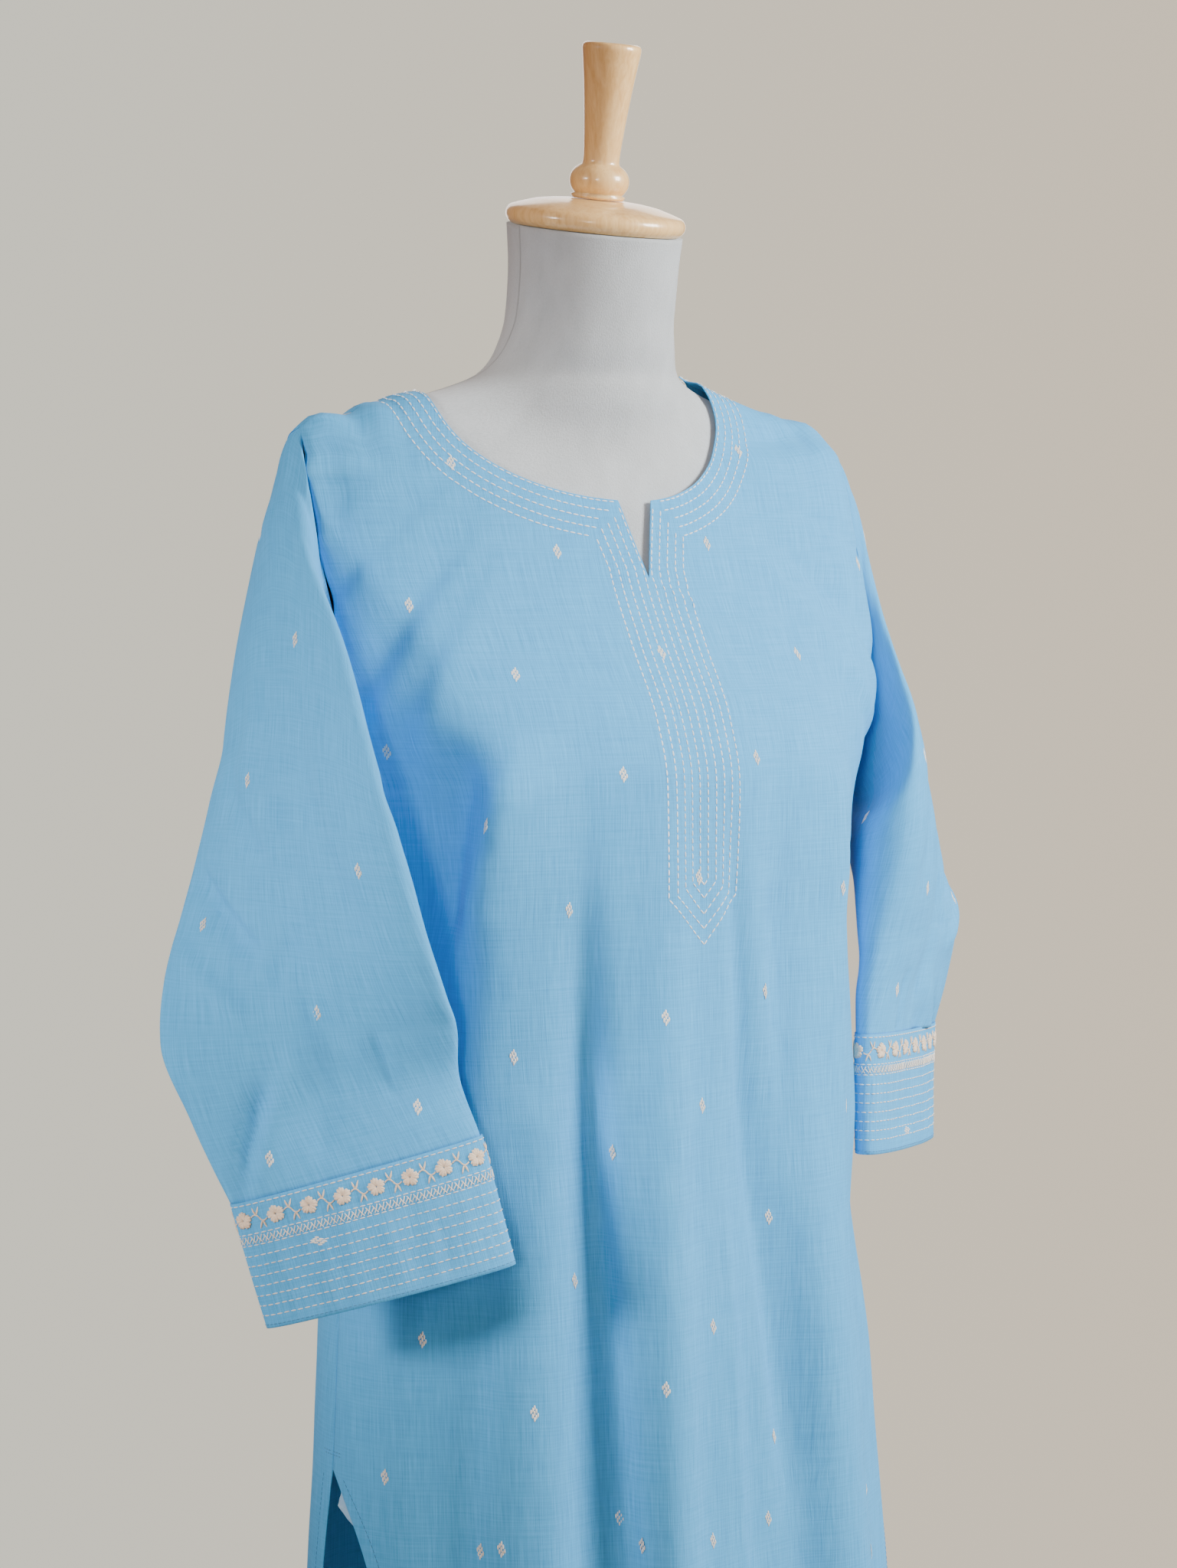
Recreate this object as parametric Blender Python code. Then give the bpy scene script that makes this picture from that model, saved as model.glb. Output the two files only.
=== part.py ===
"""A straight kurta worn by a limbless dress form.

Metres, +Z up. The kurta faces -Y, and its right side is at -X. A place on the body is given by
an angle and a height: 0 degrees is the right side, 90 the centre front, 180 the left side and
270 the centre back. Form and cloth are both closed rings at each height, worked out from short
tables of half widths and depths, and every cloth piece is a wall cut out of those rings.
"""
import math

import bmesh
import bpy
import numpy as np

# Cloth
WALL = 0.0014            # thickness of the cloth wall
EASE = 0.0017            # cloth above the form where it rests on it
SEAM = 0.00045           # gap between two pieces at a seam
RIDGE_WIDER = 1.4        # the shoulder seam's gap is wider by this share, as its sides slope
# Neckline, seen from the front
NECK_RIGHT = 0.122       # from the centre to the right neck point
NECK_LEFT = 0.096        # and to the left one, as the kurta sits a little to its right
NECK_TOP = 1.400         # height of the right neck point on the shoulder
NECK_TOP_LEFT = 1.413    # and of the left one
NECK_DROP = 0.071        # front neck depth
NECK_SQUARE_RIGHT = 2.1  # squareness of the round neck
NECK_SQUARE_LEFT = 2.15
NECK_TUCK = 0.06         # the left edge turns in by this share at the top
SLIT_HALF = 0.013        # half width of the V slit at its top
SLIT_FOOT = 1.279        # height of the V slit's foot
BACK_RISE = 0.006        # the back neck stands this much above the neck points
# Heights of the garment
HEM = 0.300
SIDE_SLIT = 0.717        # top of the side slits
SLIT_OPEN_FRONT = 0.060  # how far the front's edge stands forward of the side at the hem
SLIT_OPEN_BACK = 0.012   # and the back's edge behind it
SLIT_SPREAD = 0.060      # drop over which a slit does most of its opening
# Armhole, an egg on the side of the body, wider below
ARM_MID = 1.270
ARM_HALF = 0.104
ARM_TURN_RIGHT = 11.0    # half width of the armhole, in degrees round the body
ARM_TURN_LEFT = 12.0
ARM_EGG_RIGHT = 0.30     # share by which it is narrower above and wider below
ARM_EGG_LEFT = 0.0
# Turned wood
LEAN = math.radians(10.0)    # the neck's top and the finial lean forward
CAP_RADIUS = 0.0590
POLE_RADIUS = 0.016
BASE_RADIUS = 0.190
BASE_THICK = 0.028
POLE_FORWARD = 0.020     # the pole stands this far in front of the shoulder line
FORM_FOOT = 0.700
# The left shoulder of the kurta stands a little proud of the form, most beside the neck
NECK_LIFT = 0.003
LEFT_LIFT = 0.008

# Rings of the form: height, half width, middle (forward), half depth, squareness, neck radius
FORM_RINGS = np.array([
    (0.700, 0.150, 0.019, 0.089, 2.2, 0.000),
    (0.740, 0.166, 0.018, 0.098, 2.2, 0.000),
    (0.800, 0.170, 0.017, 0.101, 2.2, 0.000),
    (0.880, 0.152, 0.016, 0.094, 2.1, 0.000),
    (0.970, 0.126, 0.017, 0.083, 2.1, 0.000),
    (1.050, 0.142, 0.024, 0.104, 2.1, 0.000),
    (1.110, 0.158, 0.030, 0.122, 2.1, 0.000),
    (1.150, 0.166, 0.0315, 0.1285, 2.2, 0.000),
    (1.190, 0.171, 0.024, 0.124, 2.2, 0.000),
    (1.235, 0.177, 0.010, 0.112, 2.2, 0.010),
    (1.280, 0.186, -0.001, 0.0995, 2.1, 0.030),
    (1.320, 0.193, -0.004, 0.088, 2.0, 0.047),
    (1.350, 0.1955, -0.002, 0.070, 2.0, 0.058),
    (1.368, 0.192, 0.003, 0.054, 2.0, 0.064),
    (1.380, 0.176, 0.007, 0.044, 2.0, 0.0665),
    (1.390, 0.145, 0.010, 0.038, 2.0, 0.068),
    (1.400, 0.100, 0.014, 0.034, 2.0, 0.0660),
    (1.412, 0.066, 0.021, 0.030, 2.0, 0.0590),
    (1.430, 0.044, 0.029, 0.026, 2.0, 0.0565),
    (1.450, 0.030, 0.034, 0.020, 2.0, 0.0548),
    (1.478, 0.020, 0.038, 0.020, 2.0, 0.0553),
    (1.506, 0.010, 0.040, 0.010, 2.0, 0.0575)])
# Rings of the hanging cloth: height, half width, middle (forward), half depth, squareness
CLOTH_RINGS = np.array([
    (0.290, 0.232, 0.054, 0.150, 2.0),
    (0.450, 0.223, 0.053, 0.146, 2.0),
    (0.620, 0.2115, 0.051, 0.139, 2.0),
    (0.700, 0.205, 0.048, 0.137, 2.0),
    (0.790, 0.1985, 0.045, 0.136, 2.0),
    (0.930, 0.187, 0.040, 0.130, 2.0),
    (1.050, 0.187, 0.036, 0.129, 2.0),
    (1.100, 0.189, 0.034, 0.131, 2.1),
    (1.150, 0.192, 0.031, 0.133, 2.1),
    (1.190, 0.196, 0.024, 0.129, 2.1),
    (1.235, 0.200, 0.010, 0.116, 2.1),
    (1.280, 0.204, -0.001, 0.101, 2.1),
    (1.320, 0.206, -0.004, 0.086, 2.0),
    (1.350, 0.207, -0.002, 0.066, 2.0),
    (1.368, 0.206, 0.003, 0.048, 2.0),
    (1.378, 0.196, 0.007, 0.036, 2.0),
    (1.390, 0.128, 0.010, 0.020, 2.0),
    (1.430, 0.030, 0.030, 0.010, 2.0)])
# Large folds: angle and height of the top, angle and height of the foot, half width, height
# outward (a trough is negative). A fold fades in over its top fifth.
FOLDS = (
    (41, 1.190, 30, 0.930, 0.022, 0.0100),
    (20, 1.210, 14, 0.900, 0.026, -0.0140),
    (139, 1.190, 149, 0.930, 0.022, 0.0080),
    (158, 1.110, 166, 0.880, 0.024, -0.0080),
    (10, 1.378, 12, 1.200, 0.030, 0.0080),
    (166, 1.384, 165, 1.240, 0.039, 0.0300),
    (53, 1.100, 62, 0.290, 0.016, -0.0100),
    (70, 1.020, 75, 0.290, 0.018, 0.0070),
    (104, 1.060, 109, 0.290, 0.024, -0.0100),
    (126, 1.020, 133, 0.290, 0.020, 0.0080),
    (42, 0.980, 42, 0.290, 0.022, 0.0060),
    (26, 0.930, 24, 0.290, 0.022, -0.0070),
    (152, 0.960, 154, 0.290, 0.022, -0.0060),
    (208, 1.150, 204, 0.290, 0.024, 0.0060),
    (226, 1.200, 224, 0.290, 0.024, -0.0085),
    (246, 1.050, 243, 0.290, 0.022, 0.0070),
    (262, 1.150, 264, 0.290, 0.022, -0.0075),
    (283, 1.020, 285, 0.290, 0.024, 0.0070),
    (304, 1.200, 307, 0.290, 0.024, -0.0085),
    (326, 1.120, 329, 0.290, 0.024, 0.0055))

# Sleeve stations: outward, forward and height of the ring's middle, half width, half thickness,
# then in degrees the turn of the flat side towards the body, the tilt of the ring from upright
# to level, and the lift of its front edge
SLEEVE_RIGHT = np.array([
    (0.2055, 0.000, 1.2680, 0.0340, 0.1055, 0, 0, 0),
    (0.2060, 0.004, 1.2580, 0.0380, 0.0970, 0, 1, 0),
    (0.2130, 0.015, 1.2380, 0.0500, 0.0840, 0, 5, 0),
    (0.2192, 0.034, 1.2140, 0.0730, 0.0670, 0, 10, 0),
    (0.2243, 0.045, 1.1875, 0.0870, 0.0495, 0, 16, 0),
    (0.2278, 0.054, 1.1600, 0.0970, 0.0335, 0, 28, 0),
    (0.2310, 0.060, 1.1300, 0.1010, 0.0230, 4, 55, 0),
    (0.2345, 0.066, 1.0950, 0.1010, 0.0190, 11, 82, 0),
    (0.2380, 0.072, 1.0600, 0.1000, 0.0170, 20, 90, 0),
    (0.2400, 0.078, 1.0270, 0.0980, 0.0160, 32, 90, 0),
    (0.2400, 0.084, 0.9970, 0.0948, 0.0155, 44, 90, 4),
    (0.2335, 0.0935, 0.9600, 0.0840, 0.0150, 53, 90, 10),
    (0.2235, 0.1135, 0.9175, 0.0790, 0.0140, 57, 90, 15.5)])
SLEEVE_LEFT = np.array([
    (0.2085, 0.000, 1.2680, 0.0340, 0.1070, 0, 0, 0),
    (0.2200, 0.002, 1.2600, 0.0390, 0.0990, 0, 3, 0),
    (0.2240, 0.003, 1.2400, 0.0450, 0.0850, 2, 6, 0),
    (0.2270, 0.010, 1.2150, 0.0520, 0.0670, 6, 10, 0),
    (0.2295, 0.023, 1.1875, 0.0650, 0.0510, 12, 16, 0),
    (0.2325, 0.037, 1.1600, 0.0800, 0.0400, 20, 28, 0),
    (0.2360, 0.045, 1.1300, 0.0880, 0.0340, 30, 55, 0),
    (0.2430, 0.049, 1.0950, 0.0890, 0.0310, 40, 82, 0),
    (0.2490, 0.052, 1.0620, 0.0910, 0.0270, 49, 90, 0),
    (0.2520, 0.054, 1.0330, 0.0930, 0.0210, 54, 90, 0),
    (0.2450, 0.057, 1.0000, 0.0880, 0.0170, 55, 90, 2),
    (0.2375, 0.0595, 0.9690, 0.0808, 0.0145, 54, 90, 3)])
# Cuff stations, in the same columns
CUFF_RIGHT = np.array([
    (0.2233, 0.1138, 0.9170, 0.0797, 0.0147, 57, 90, 15.5),
    (0.2184, 0.1270, 0.8800, 0.0790, 0.0150, 57, 90, 15),
    (0.2139, 0.1398, 0.8440, 0.0780, 0.0150, 57, 90, 14.5)])
CUFF_LEFT = np.array([
    (0.2375, 0.0595, 0.9683, 0.0815, 0.0150, 54, 90, 3),
    (0.2362, 0.0600, 0.9280, 0.0800, 0.0150, 54, 90, 3),
    (0.2360, 0.0610, 0.8885, 0.0785, 0.0150, 54, 90, 3)])
TUBE_SQUARE = 2.4        # squareness of a flattened sleeve's section

# Mesh fineness
FRONT_COLUMNS = 13       # columns from a side seam to the centre front
BACK_COLUMNS = 11
FORM_COLUMNS = 40
SLEEVE_COLUMNS = 24
TURNED_STEPS = 24


def smooth_columns(table, place):
    """Cubic curves through a table's columns, read at place, flat where a column turns."""
    keys = table[:, 0]
    step = np.diff(keys)[:, None]
    rise = np.diff(table[:, 1:], axis=0) / step
    both = rise[:-1] * rise[1:]
    mean = np.where(both > 0, 2 * both / np.where(both > 0, rise[:-1] + rise[1:], 1), 0)
    slope = np.vstack([rise[:1], mean, rise[-1:]])
    place = np.clip(np.asarray(place, float), keys[0], keys[-1])
    row = np.clip(np.searchsorted(keys, place, side="right") - 1, 0, len(keys) - 2)
    width = step[row, 0]
    t = ((place - keys[row]) / width)[..., None]
    width = width[..., None]
    low, high = table[row, 1:], table[row + 1, 1:]
    return ((1 + 2 * t) * (1 - t) ** 2 * low + t * (1 - t) ** 2 * width * slope[row]
            + t * t * (3 - 2 * t) * high + t * t * (t - 1) * width * slope[row + 1])


def soften(x):
    """Smooth step of x from 0 to 1."""
    x = np.clip(x, 0, 1)
    return x * x * (3 - 2 * x)


def oval(angle, half, deep, square):
    """Distance from the middle to a squared oval's edge, in the angle's direction."""
    c = np.abs(np.cos(angle)) / half
    s = np.abs(np.sin(angle)) / deep
    return (c ** square + s ** square) ** (-1.0 / square)


def form_radius(angle, z):
    """The form's ring: an oval torso blended with a round neck by a fourth-power sum."""
    half, _, deep, square, neck = np.moveaxis(smooth_columns(FORM_RINGS, z), -1, 0)
    return (oval(angle, half, deep, square) ** 4 + neck ** 4) ** 0.25


def form_from(middle, angle, z):
    """The form's ring measured from another middle, found by stepping onto the ring."""
    own = smooth_columns(FORM_RINGS, z)[..., 1]
    radius = form_radius(angle, z)
    for _ in range(4):
        aside = radius * np.cos(angle)
        ahead = radius * np.sin(angle) + middle - own
        radius = radius + form_radius(np.arctan2(ahead, aside), z) - np.hypot(ahead, aside)
    return radius


def folds(angle, z, radius):
    """Sum of soft ridges and troughs, each a bell across its line."""
    total = np.zeros(np.broadcast(angle, z).shape)
    for top, z_top, foot, z_foot, half, height in FOLDS:
        t = np.clip((z_top - z) / (z_top - z_foot), 0, 1)
        line = np.radians(top + (foot - top) * t)
        across = (angle - line + math.pi) % (2 * math.pi) - math.pi
        fade = soften((z_top - z) / (0.2 * (z_top - z_foot))) * soften((z - z_foot + 0.12) / 0.12)
        total += height * fade * np.exp(-(across * radius / half) ** 2)
    return total


def cloth_radius(angle, z):
    """The cloth's ring: it hangs as its own oval with folds, but never inside the form."""
    half, middle, deep, square = np.moveaxis(smooth_columns(CLOTH_RINGS, z), -1, 0)
    hanging = oval(angle, half, deep, square)
    hanging = hanging + folds(angle, z, hanging)
    resting = form_from(middle, angle, np.asarray(z) - EASE - WALL) + EASE + WALL
    soft = 0.003
    return 0.5 * (hanging + resting + np.sqrt((hanging - resting) ** 2 + soft * soft))


def around(angle, z, radius, middle):
    """The point at an angle and height on a ring of that radius."""
    return np.stack([-radius * np.cos(angle), -middle - radius * np.sin(angle),
                     np.broadcast_to(z, np.shape(radius))], axis=-1)


def cloth_point(angle, z):
    angle, z = np.broadcast_arrays(np.asarray(angle, float), np.asarray(z, float))
    middle = smooth_columns(CLOTH_RINGS, z)[..., 1]
    point = around(angle, z, cloth_radius(angle, z), middle)
    x = point[..., 0]
    beside_neck = np.exp(-((x - 0.095) / 0.040) ** 2) * soften((z - 1.350) / 0.045)
    near_tip = soften((x - 0.14) / 0.05) * soften((z - 1.31) / 0.06)
    point[..., 2] += NECK_LIFT * beside_neck + LEFT_LIFT * near_tip
    return point


def form_point(angle, z):
    """The form's skin. Its top rings tip forward with the neck's lean."""
    angle, z = np.broadcast_arrays(np.asarray(angle, float), np.asarray(z, float))
    middle = smooth_columns(FORM_RINGS, z)[..., 1]
    point = around(angle, z, form_radius(angle, z), middle)
    tip = np.clip((z - 1.43) / (FORM_RINGS[-1, 0] - 1.43), 0, 1) ** 1.5
    point[..., 2] += tip * math.tan(LEAN) * (point[..., 1] + middle)
    return point


def outward(surface, u, v, step_u, step_v):
    """Unit normals of surface(u, v), from small steps each way."""
    along_u = surface(u + step_u, v) - surface(u - step_u, v)
    along_v = surface(u, v + step_v) - surface(u, v - step_v)
    normal = np.cross(along_u, along_v)
    return normal / np.linalg.norm(normal, axis=-1, keepdims=True)


def away_from(normals, points, middle=(0.0, 0.0, 0.0), axes=(1, 1, 0)):
    """The normals, each turned to point away from the middle along the given axes."""
    side = np.sum(normals * (points - np.asarray(middle)) * axes, axis=-1, keepdims=True)
    return normals * np.where(side < 0, -1, 1)


def material(name, colour, roughness):
    """A plain finish: colour and roughness on a Principled BSDF."""
    finish = bpy.data.materials.get(name) or bpy.data.materials.new(name)
    finish.use_nodes = True
    shader = finish.node_tree.nodes["Principled BSDF"]
    shader.inputs["Base Color"].default_value = (*colour, 1)
    shader.inputs["Roughness"].default_value = roughness
    shader.inputs["Metallic"].default_value = 0
    return finish


CHAMBRAY = ("chambray", (0.27, 0.50, 0.74), 0.85)
LACE = ("lace", (0.55, 0.72, 0.86), 0.80)
JERSEY = ("jersey", (0.48, 0.53, 0.56), 0.90)
HONEY_WOOD = ("honey_wood", (0.68, 0.42, 0.19), 0.28)


def add_object(name, points, faces, finish):
    """A mesh object with its points in place and its own material."""
    mesh = bpy.data.meshes.new(name)
    mesh.from_pydata([tuple(map(float, p)) for p in points], [], faces)
    mesh.update()
    piece = bpy.data.objects.new(name, mesh)
    bpy.context.scene.collection.objects.link(piece)
    mesh.materials.append(material(*finish))
    mesh.shade_smooth()
    mesh.set_sharp_from_angle(angle=math.radians(50))
    return piece


def grid_faces(rows, columns, start=0, closed=False):
    """Quads between neighbouring rows and columns, round to the first column if closed."""
    last = columns if closed else columns - 1
    faces = []
    for i in range(rows - 1):
        for j in range(last):
            k = (j + 1) % columns
            a, b = start + i * columns, start + (i + 1) * columns
            faces.append((a + j, a + k, b + k, b + j))
    return faces


def weld(points, faces, apart=1e-5):
    """Merge points that coincide, and drop the faces' repeated corners."""
    _, first, place = np.unique(np.round(points / apart), axis=0, return_index=True,
                                return_inverse=True)
    place = place.reshape(-1)
    kept = []
    for face in faces:
        corners = [int(place[i]) for i in face]
        corners = [c for n, c in enumerate(corners) if c != corners[n - 1]]
        if len(corners) > 2:
            kept.append(tuple(corners))
    return first, kept


def cut_across(points, faces):
    """Cut each four-sided face along its shorter diagonal."""
    cut = []
    for f in faces:
        if len(f) == 3:
            cut.append(f)
            continue
        a, b, c, d = (points[i] for i in f)
        if np.linalg.norm(a - c) <= np.linalg.norm(b - d):
            cut += [(f[0], f[1], f[2]), (f[0], f[2], f[3])]
        else:
            cut += [(f[0], f[1], f[3]), (f[1], f[2], f[3])]
    return cut


def wall(name, outer, inner, faces, finish):
    """A closed wall: the outer skin, the inner skin turned round, and a rim along each edge.
    Both skins are cut into the same triangles, so that they stay the wall's thickness apart."""
    first, skin = weld(outer, faces)
    skin = cut_across(outer[first], skin)
    count = len(first)
    edges = {(f[n - 1], f[n]) for f in skin for n in range(len(f))}
    rim = [(b, a, a + count, b + count) for a, b in sorted(edges) if (b, a) not in edges]
    lining = [tuple(i + count for i in reversed(f)) for f in skin]
    points = np.vstack([outer[first], inner[first]])
    piece = add_object(name, points, skin + lining + rim, finish)
    mesh = bmesh.new()
    mesh.from_mesh(piece.data)
    bmesh.ops.recalc_face_normals(mesh, faces=mesh.faces)
    mesh.to_mesh(piece.data)
    mesh.free()
    return piece


def neck_edge(z, side):
    """Half width of the front neck opening at a height on one side, slit included."""
    top, half, square = ((NECK_TOP, NECK_RIGHT, NECK_SQUARE_RIGHT) if side < 0
                         else (NECK_TOP_LEFT, NECK_LEFT, NECK_SQUARE_LEFT))
    drop = np.clip((top - z) / (top - NECK_TOP + NECK_DROP), 0, 1)
    round_neck = half * (1 - drop ** square) ** (1 / square)
    if side > 0:
        round_neck *= 1 - NECK_TUCK * soften((z - 1.375) / 0.030)
    slit = SLIT_HALF * (z - SLIT_FOOT) / (NECK_TOP - NECK_DROP - SLIT_FOOT)
    return np.maximum(round_neck, np.maximum(slit, 0))


def angle_of_width(z, side, half):
    """How far round from the side seam the front of the cloth's ring is half wide."""
    angles = np.radians(np.linspace(0, 90, 361))
    places = angles if side < 0 else math.pi - angles
    across = np.abs(cloth_point(places, np.full_like(angles, z))[:, 0])
    return float(np.interp(-half, -across, angles))


def left_rise(z):
    """How much a row is raised at the left shoulder, so that it ends at the left neck point."""
    share = np.clip((z - NECK_TOP + NECK_DROP) / NECK_DROP, 0, 1)
    return (NECK_TOP_LEFT - NECK_TOP) * share * share


def armhole_turn(up, side):
    """Half width of the armhole, as an angle, at up from -1 at its foot to 1 at its top."""
    turn, egg = (ARM_TURN_RIGHT, ARM_EGG_RIGHT) if side < 0 else (ARM_TURN_LEFT, ARM_EGG_LEFT)
    return math.radians(turn) * np.sqrt(1 - up * up) * (1 - egg * up)


def side_edge(z, opening, side):
    """Angle between the side of the body and a panel's edge: seam, armhole or slit."""
    radius = 0.205
    up = min(max((z - ARM_MID) / ARM_HALF, -1.0), 1.0)
    seam = 0.5 * SEAM * (1 + RIDGE_WIDER * min(max((z - 1.34) / 0.03, 0.0), 1.0))
    slit = opening * (1 - math.exp(-max(0.0, SIDE_SLIT - z) / SLIT_SPREAD))
    return float(armhole_turn(up, side)) + (seam + slit) / radius


def armhole_rows(start, count):
    """Heights from start down to the armhole's foot, closer together near the foot."""
    foot = ARM_MID - ARM_HALF
    return foot + (start - foot) * (1 - np.linspace(0, 1, count + 1)[1:]) ** 1.6


def skirt_rows(count):
    """Heights from under the armhole to the top of the side slits, and on to the hem."""
    body = np.linspace(ARM_MID - ARM_HALF, SIDE_SLIT, count + 1)[1:]
    open_part = SIDE_SLIT - (SIDE_SLIT - HEM) * np.array([0.06, 0.14, 0.26, 0.42, 0.60, 0.80, 1])
    return np.concatenate([body, open_part])


def front_rows():
    """Heights of the front's rows: along the round neck, down the slit, then to the hem."""
    turn = np.linspace(0, math.pi / 2, 12)
    neck = NECK_TOP - NECK_DROP * np.sin(turn) ** 1.25
    slit = np.linspace(NECK_TOP - NECK_DROP, SLIT_FOOT, 5)[1:]
    return np.concatenate([neck, slit, armhole_rows(SLIT_FOOT, 7), skirt_rows(11)])


def kurta_front():
    """The front: two halves from the side to the neck, slit or centre, joined at the centre."""
    rows = front_rows()
    spread = np.linspace(0, 1, FRONT_COLUMNS) ** 1.15
    halves = []
    heights = (rows, rows + left_rise(rows))
    for side, own_rows in zip((-1, 1), heights):
        angles = []
        for z in own_rows:
            start = side_edge(z, SLIT_OPEN_FRONT, side)
            stop = math.pi / 2
            if z > SLIT_FOOT + 1e-6:
                stop = max(start, angle_of_width(z, side, float(neck_edge(z, side))))
            angles.append(start + (stop - start) * spread)
        angles = np.array(angles)
        halves.append(angles if side < 0 else (math.pi - angles)[:, ::-1])
    points, normals, faces = [], [], []
    for angles, own_rows in zip(halves, heights):
        z = np.repeat(own_rows[:, None], FRONT_COLUMNS, axis=1)
        faces += grid_faces(len(rows), FRONT_COLUMNS, start=sum(len(p) for p in points))
        points.append(cloth_point(angles, z).reshape(-1, 3))
        normals.append(outward(cloth_point, angles, z, 0.004, 0.0015).reshape(-1, 3))
    points, normals = np.vstack(points), np.vstack(normals)
    normals = away_from(normals, points)
    return wall("kurta_front", points, points - WALL * normals, faces, CHAMBRAY)


def kurta_back():
    """The back: one grid from the left side round the centre back to the right side."""
    chest = NECK_TOP - NECK_DROP
    rows = np.concatenate([NECK_TOP - NECK_DROP * np.linspace(0, 1, 12) ** 1.4,
                           armhole_rows(chest, 8), skirt_rows(8)])
    angles = []
    heights = []
    spread = np.linspace(0, 1, 2 * BACK_COLUMNS - 1)
    spread = spread - 0.35 * np.sin(2 * math.pi * spread) / (2 * math.pi)
    for z in rows:
        left, right = side_edge(z, SLIT_OPEN_BACK, 1), side_edge(z, SLIT_OPEN_BACK, -1)
        angle = math.pi + left + (math.pi - left - right) * spread
        lift = BACK_RISE * np.sin(math.pi * spread) ** 0.5
        blend = np.clip((z - 1.30) / (NECK_TOP - 1.30), 0, 1) ** 2
        angles.append(angle)
        heights.append(z + lift * blend + left_rise(z) * (1 - spread) ** 6)
    angles, z = np.array(angles), np.array(heights)
    points = cloth_point(angles, z).reshape(-1, 3)
    normals = outward(cloth_point, angles, z, 0.004, 0.0015).reshape(-1, 3)
    normals = away_from(normals, points)
    faces = grid_faces(len(rows), 2 * BACK_COLUMNS - 1)
    return wall("kurta_back", points, points - WALL * normals, faces, CHAMBRAY)


def tube_point(stations, side, turn, place):
    """A flattened tube: at each place a squared oval, tilted and turned as its station says."""
    keyed = np.column_stack([np.arange(len(stations)), stations])
    columns = np.moveaxis(smooth_columns(keyed, place), -1, 0)
    out, forward, z, half, thick = columns[:5]
    yaw, tilt, lift = np.radians(columns[5:])
    middle = np.stack([side * out, -forward, z], axis=-1)
    wide = np.stack([-side * np.sin(yaw) * np.cos(lift), -np.cos(yaw) * np.cos(lift),
                     np.sin(lift)], axis=-1)
    thin = np.stack([side * np.sin(tilt) * np.cos(yaw), -np.sin(tilt) * np.sin(yaw),
                     np.cos(tilt)], axis=-1)
    power = 2.0 / (2.0 + (TUBE_SQUARE - 2.0) * np.sin(tilt))
    c = np.sign(np.cos(turn)) * np.abs(np.cos(turn)) ** power
    s = np.sign(np.sin(turn)) * np.abs(np.sin(turn)) ** power
    return middle + wide * (half * c)[..., None] + thin * (thick * s)[..., None]


def sleeve_point(stations, side, turn, place):
    """The sleeve: its first ring lies in the armhole, and it becomes the tube by station 2."""
    turn, place = np.broadcast_arrays(np.asarray(turn, float), np.asarray(place, float))
    tube = tube_point(stations, side, turn, place)
    inside = 1 - 4.2 * SEAM / 0.048
    up = (1 - 3 * SEAM / ARM_HALF) * np.sin(turn)
    z = ARM_MID + ARM_HALF * up
    angle = armhole_turn(np.sin(turn), side) * np.sign(np.cos(turn)) * inside
    hole = cloth_point(angle if side < 0 else math.pi - angle, z)
    blend = soften(place / 1.6)[..., None]
    return hole * (1 - blend) + tube * blend


def tube_wall(name, surface, places, finish):
    """A tube's wall: rings at each place, closed round, with an inner skin."""
    turn = np.linspace(0, 2 * math.pi, SLEEVE_COLUMNS, endpoint=False)[None, :]
    place = np.asarray(places, float)[:, None]
    points = surface(turn, place)
    normals = outward(surface, turn + 0 * place, place + 0 * turn, 0.01, 0.01)
    middle = points.mean(axis=1, keepdims=True)
    inner = points - WALL * away_from(normals, points, middle, (1, 1, 1))
    faces = grid_faces(len(places), SLEEVE_COLUMNS, closed=True)
    return wall(name, points.reshape(-1, 3), inner.reshape(-1, 3), faces, finish)


def sleeve(name, stations, side):
    last = len(stations) - 1
    places = np.concatenate([np.linspace(0, 3, 8), np.linspace(3, last, 9)[1:]])
    return tube_wall(name, lambda turn, place: sleeve_point(stations, side, turn, place),
                     places, CHAMBRAY)


def cuff(name, stations, side):
    return tube_wall(name, lambda turn, place: tube_point(stations, side, turn, place),
                     np.linspace(0, 2, 4), CHAMBRAY)


def slit_tab():
    """A small pointed lace tab behind the front's edge, just under the top of the right slit."""
    top, foot, reach, behind = 0.706, 0.686, 0.009, 0.0024
    rows = np.linspace(0, 1, 5)
    columns = np.linspace(0, 1, 4)
    z = top + (foot - top) * rows[:, None] + 0 * columns
    point = 1 - np.abs(2 * rows[:, None] - 1)
    edge = np.array([side_edge(h, SLIT_OPEN_FRONT, -1) for h in z[:, 0]])[:, None]
    inner_end = edge + 0.055
    outer_end = edge - reach * point / 0.205
    angle = inner_end + (outer_end - inner_end) * columns
    skin = cloth_point(angle, z)
    normal = away_from(outward(cloth_point, angle, z, 0.004, 0.0015), skin)
    outer = (skin - behind * normal).reshape(-1, 3)
    inner = (skin - (behind + WALL) * normal).reshape(-1, 3)
    return wall("slit_tab", outer, inner, grid_faces(5, 4), LACE)


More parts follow.
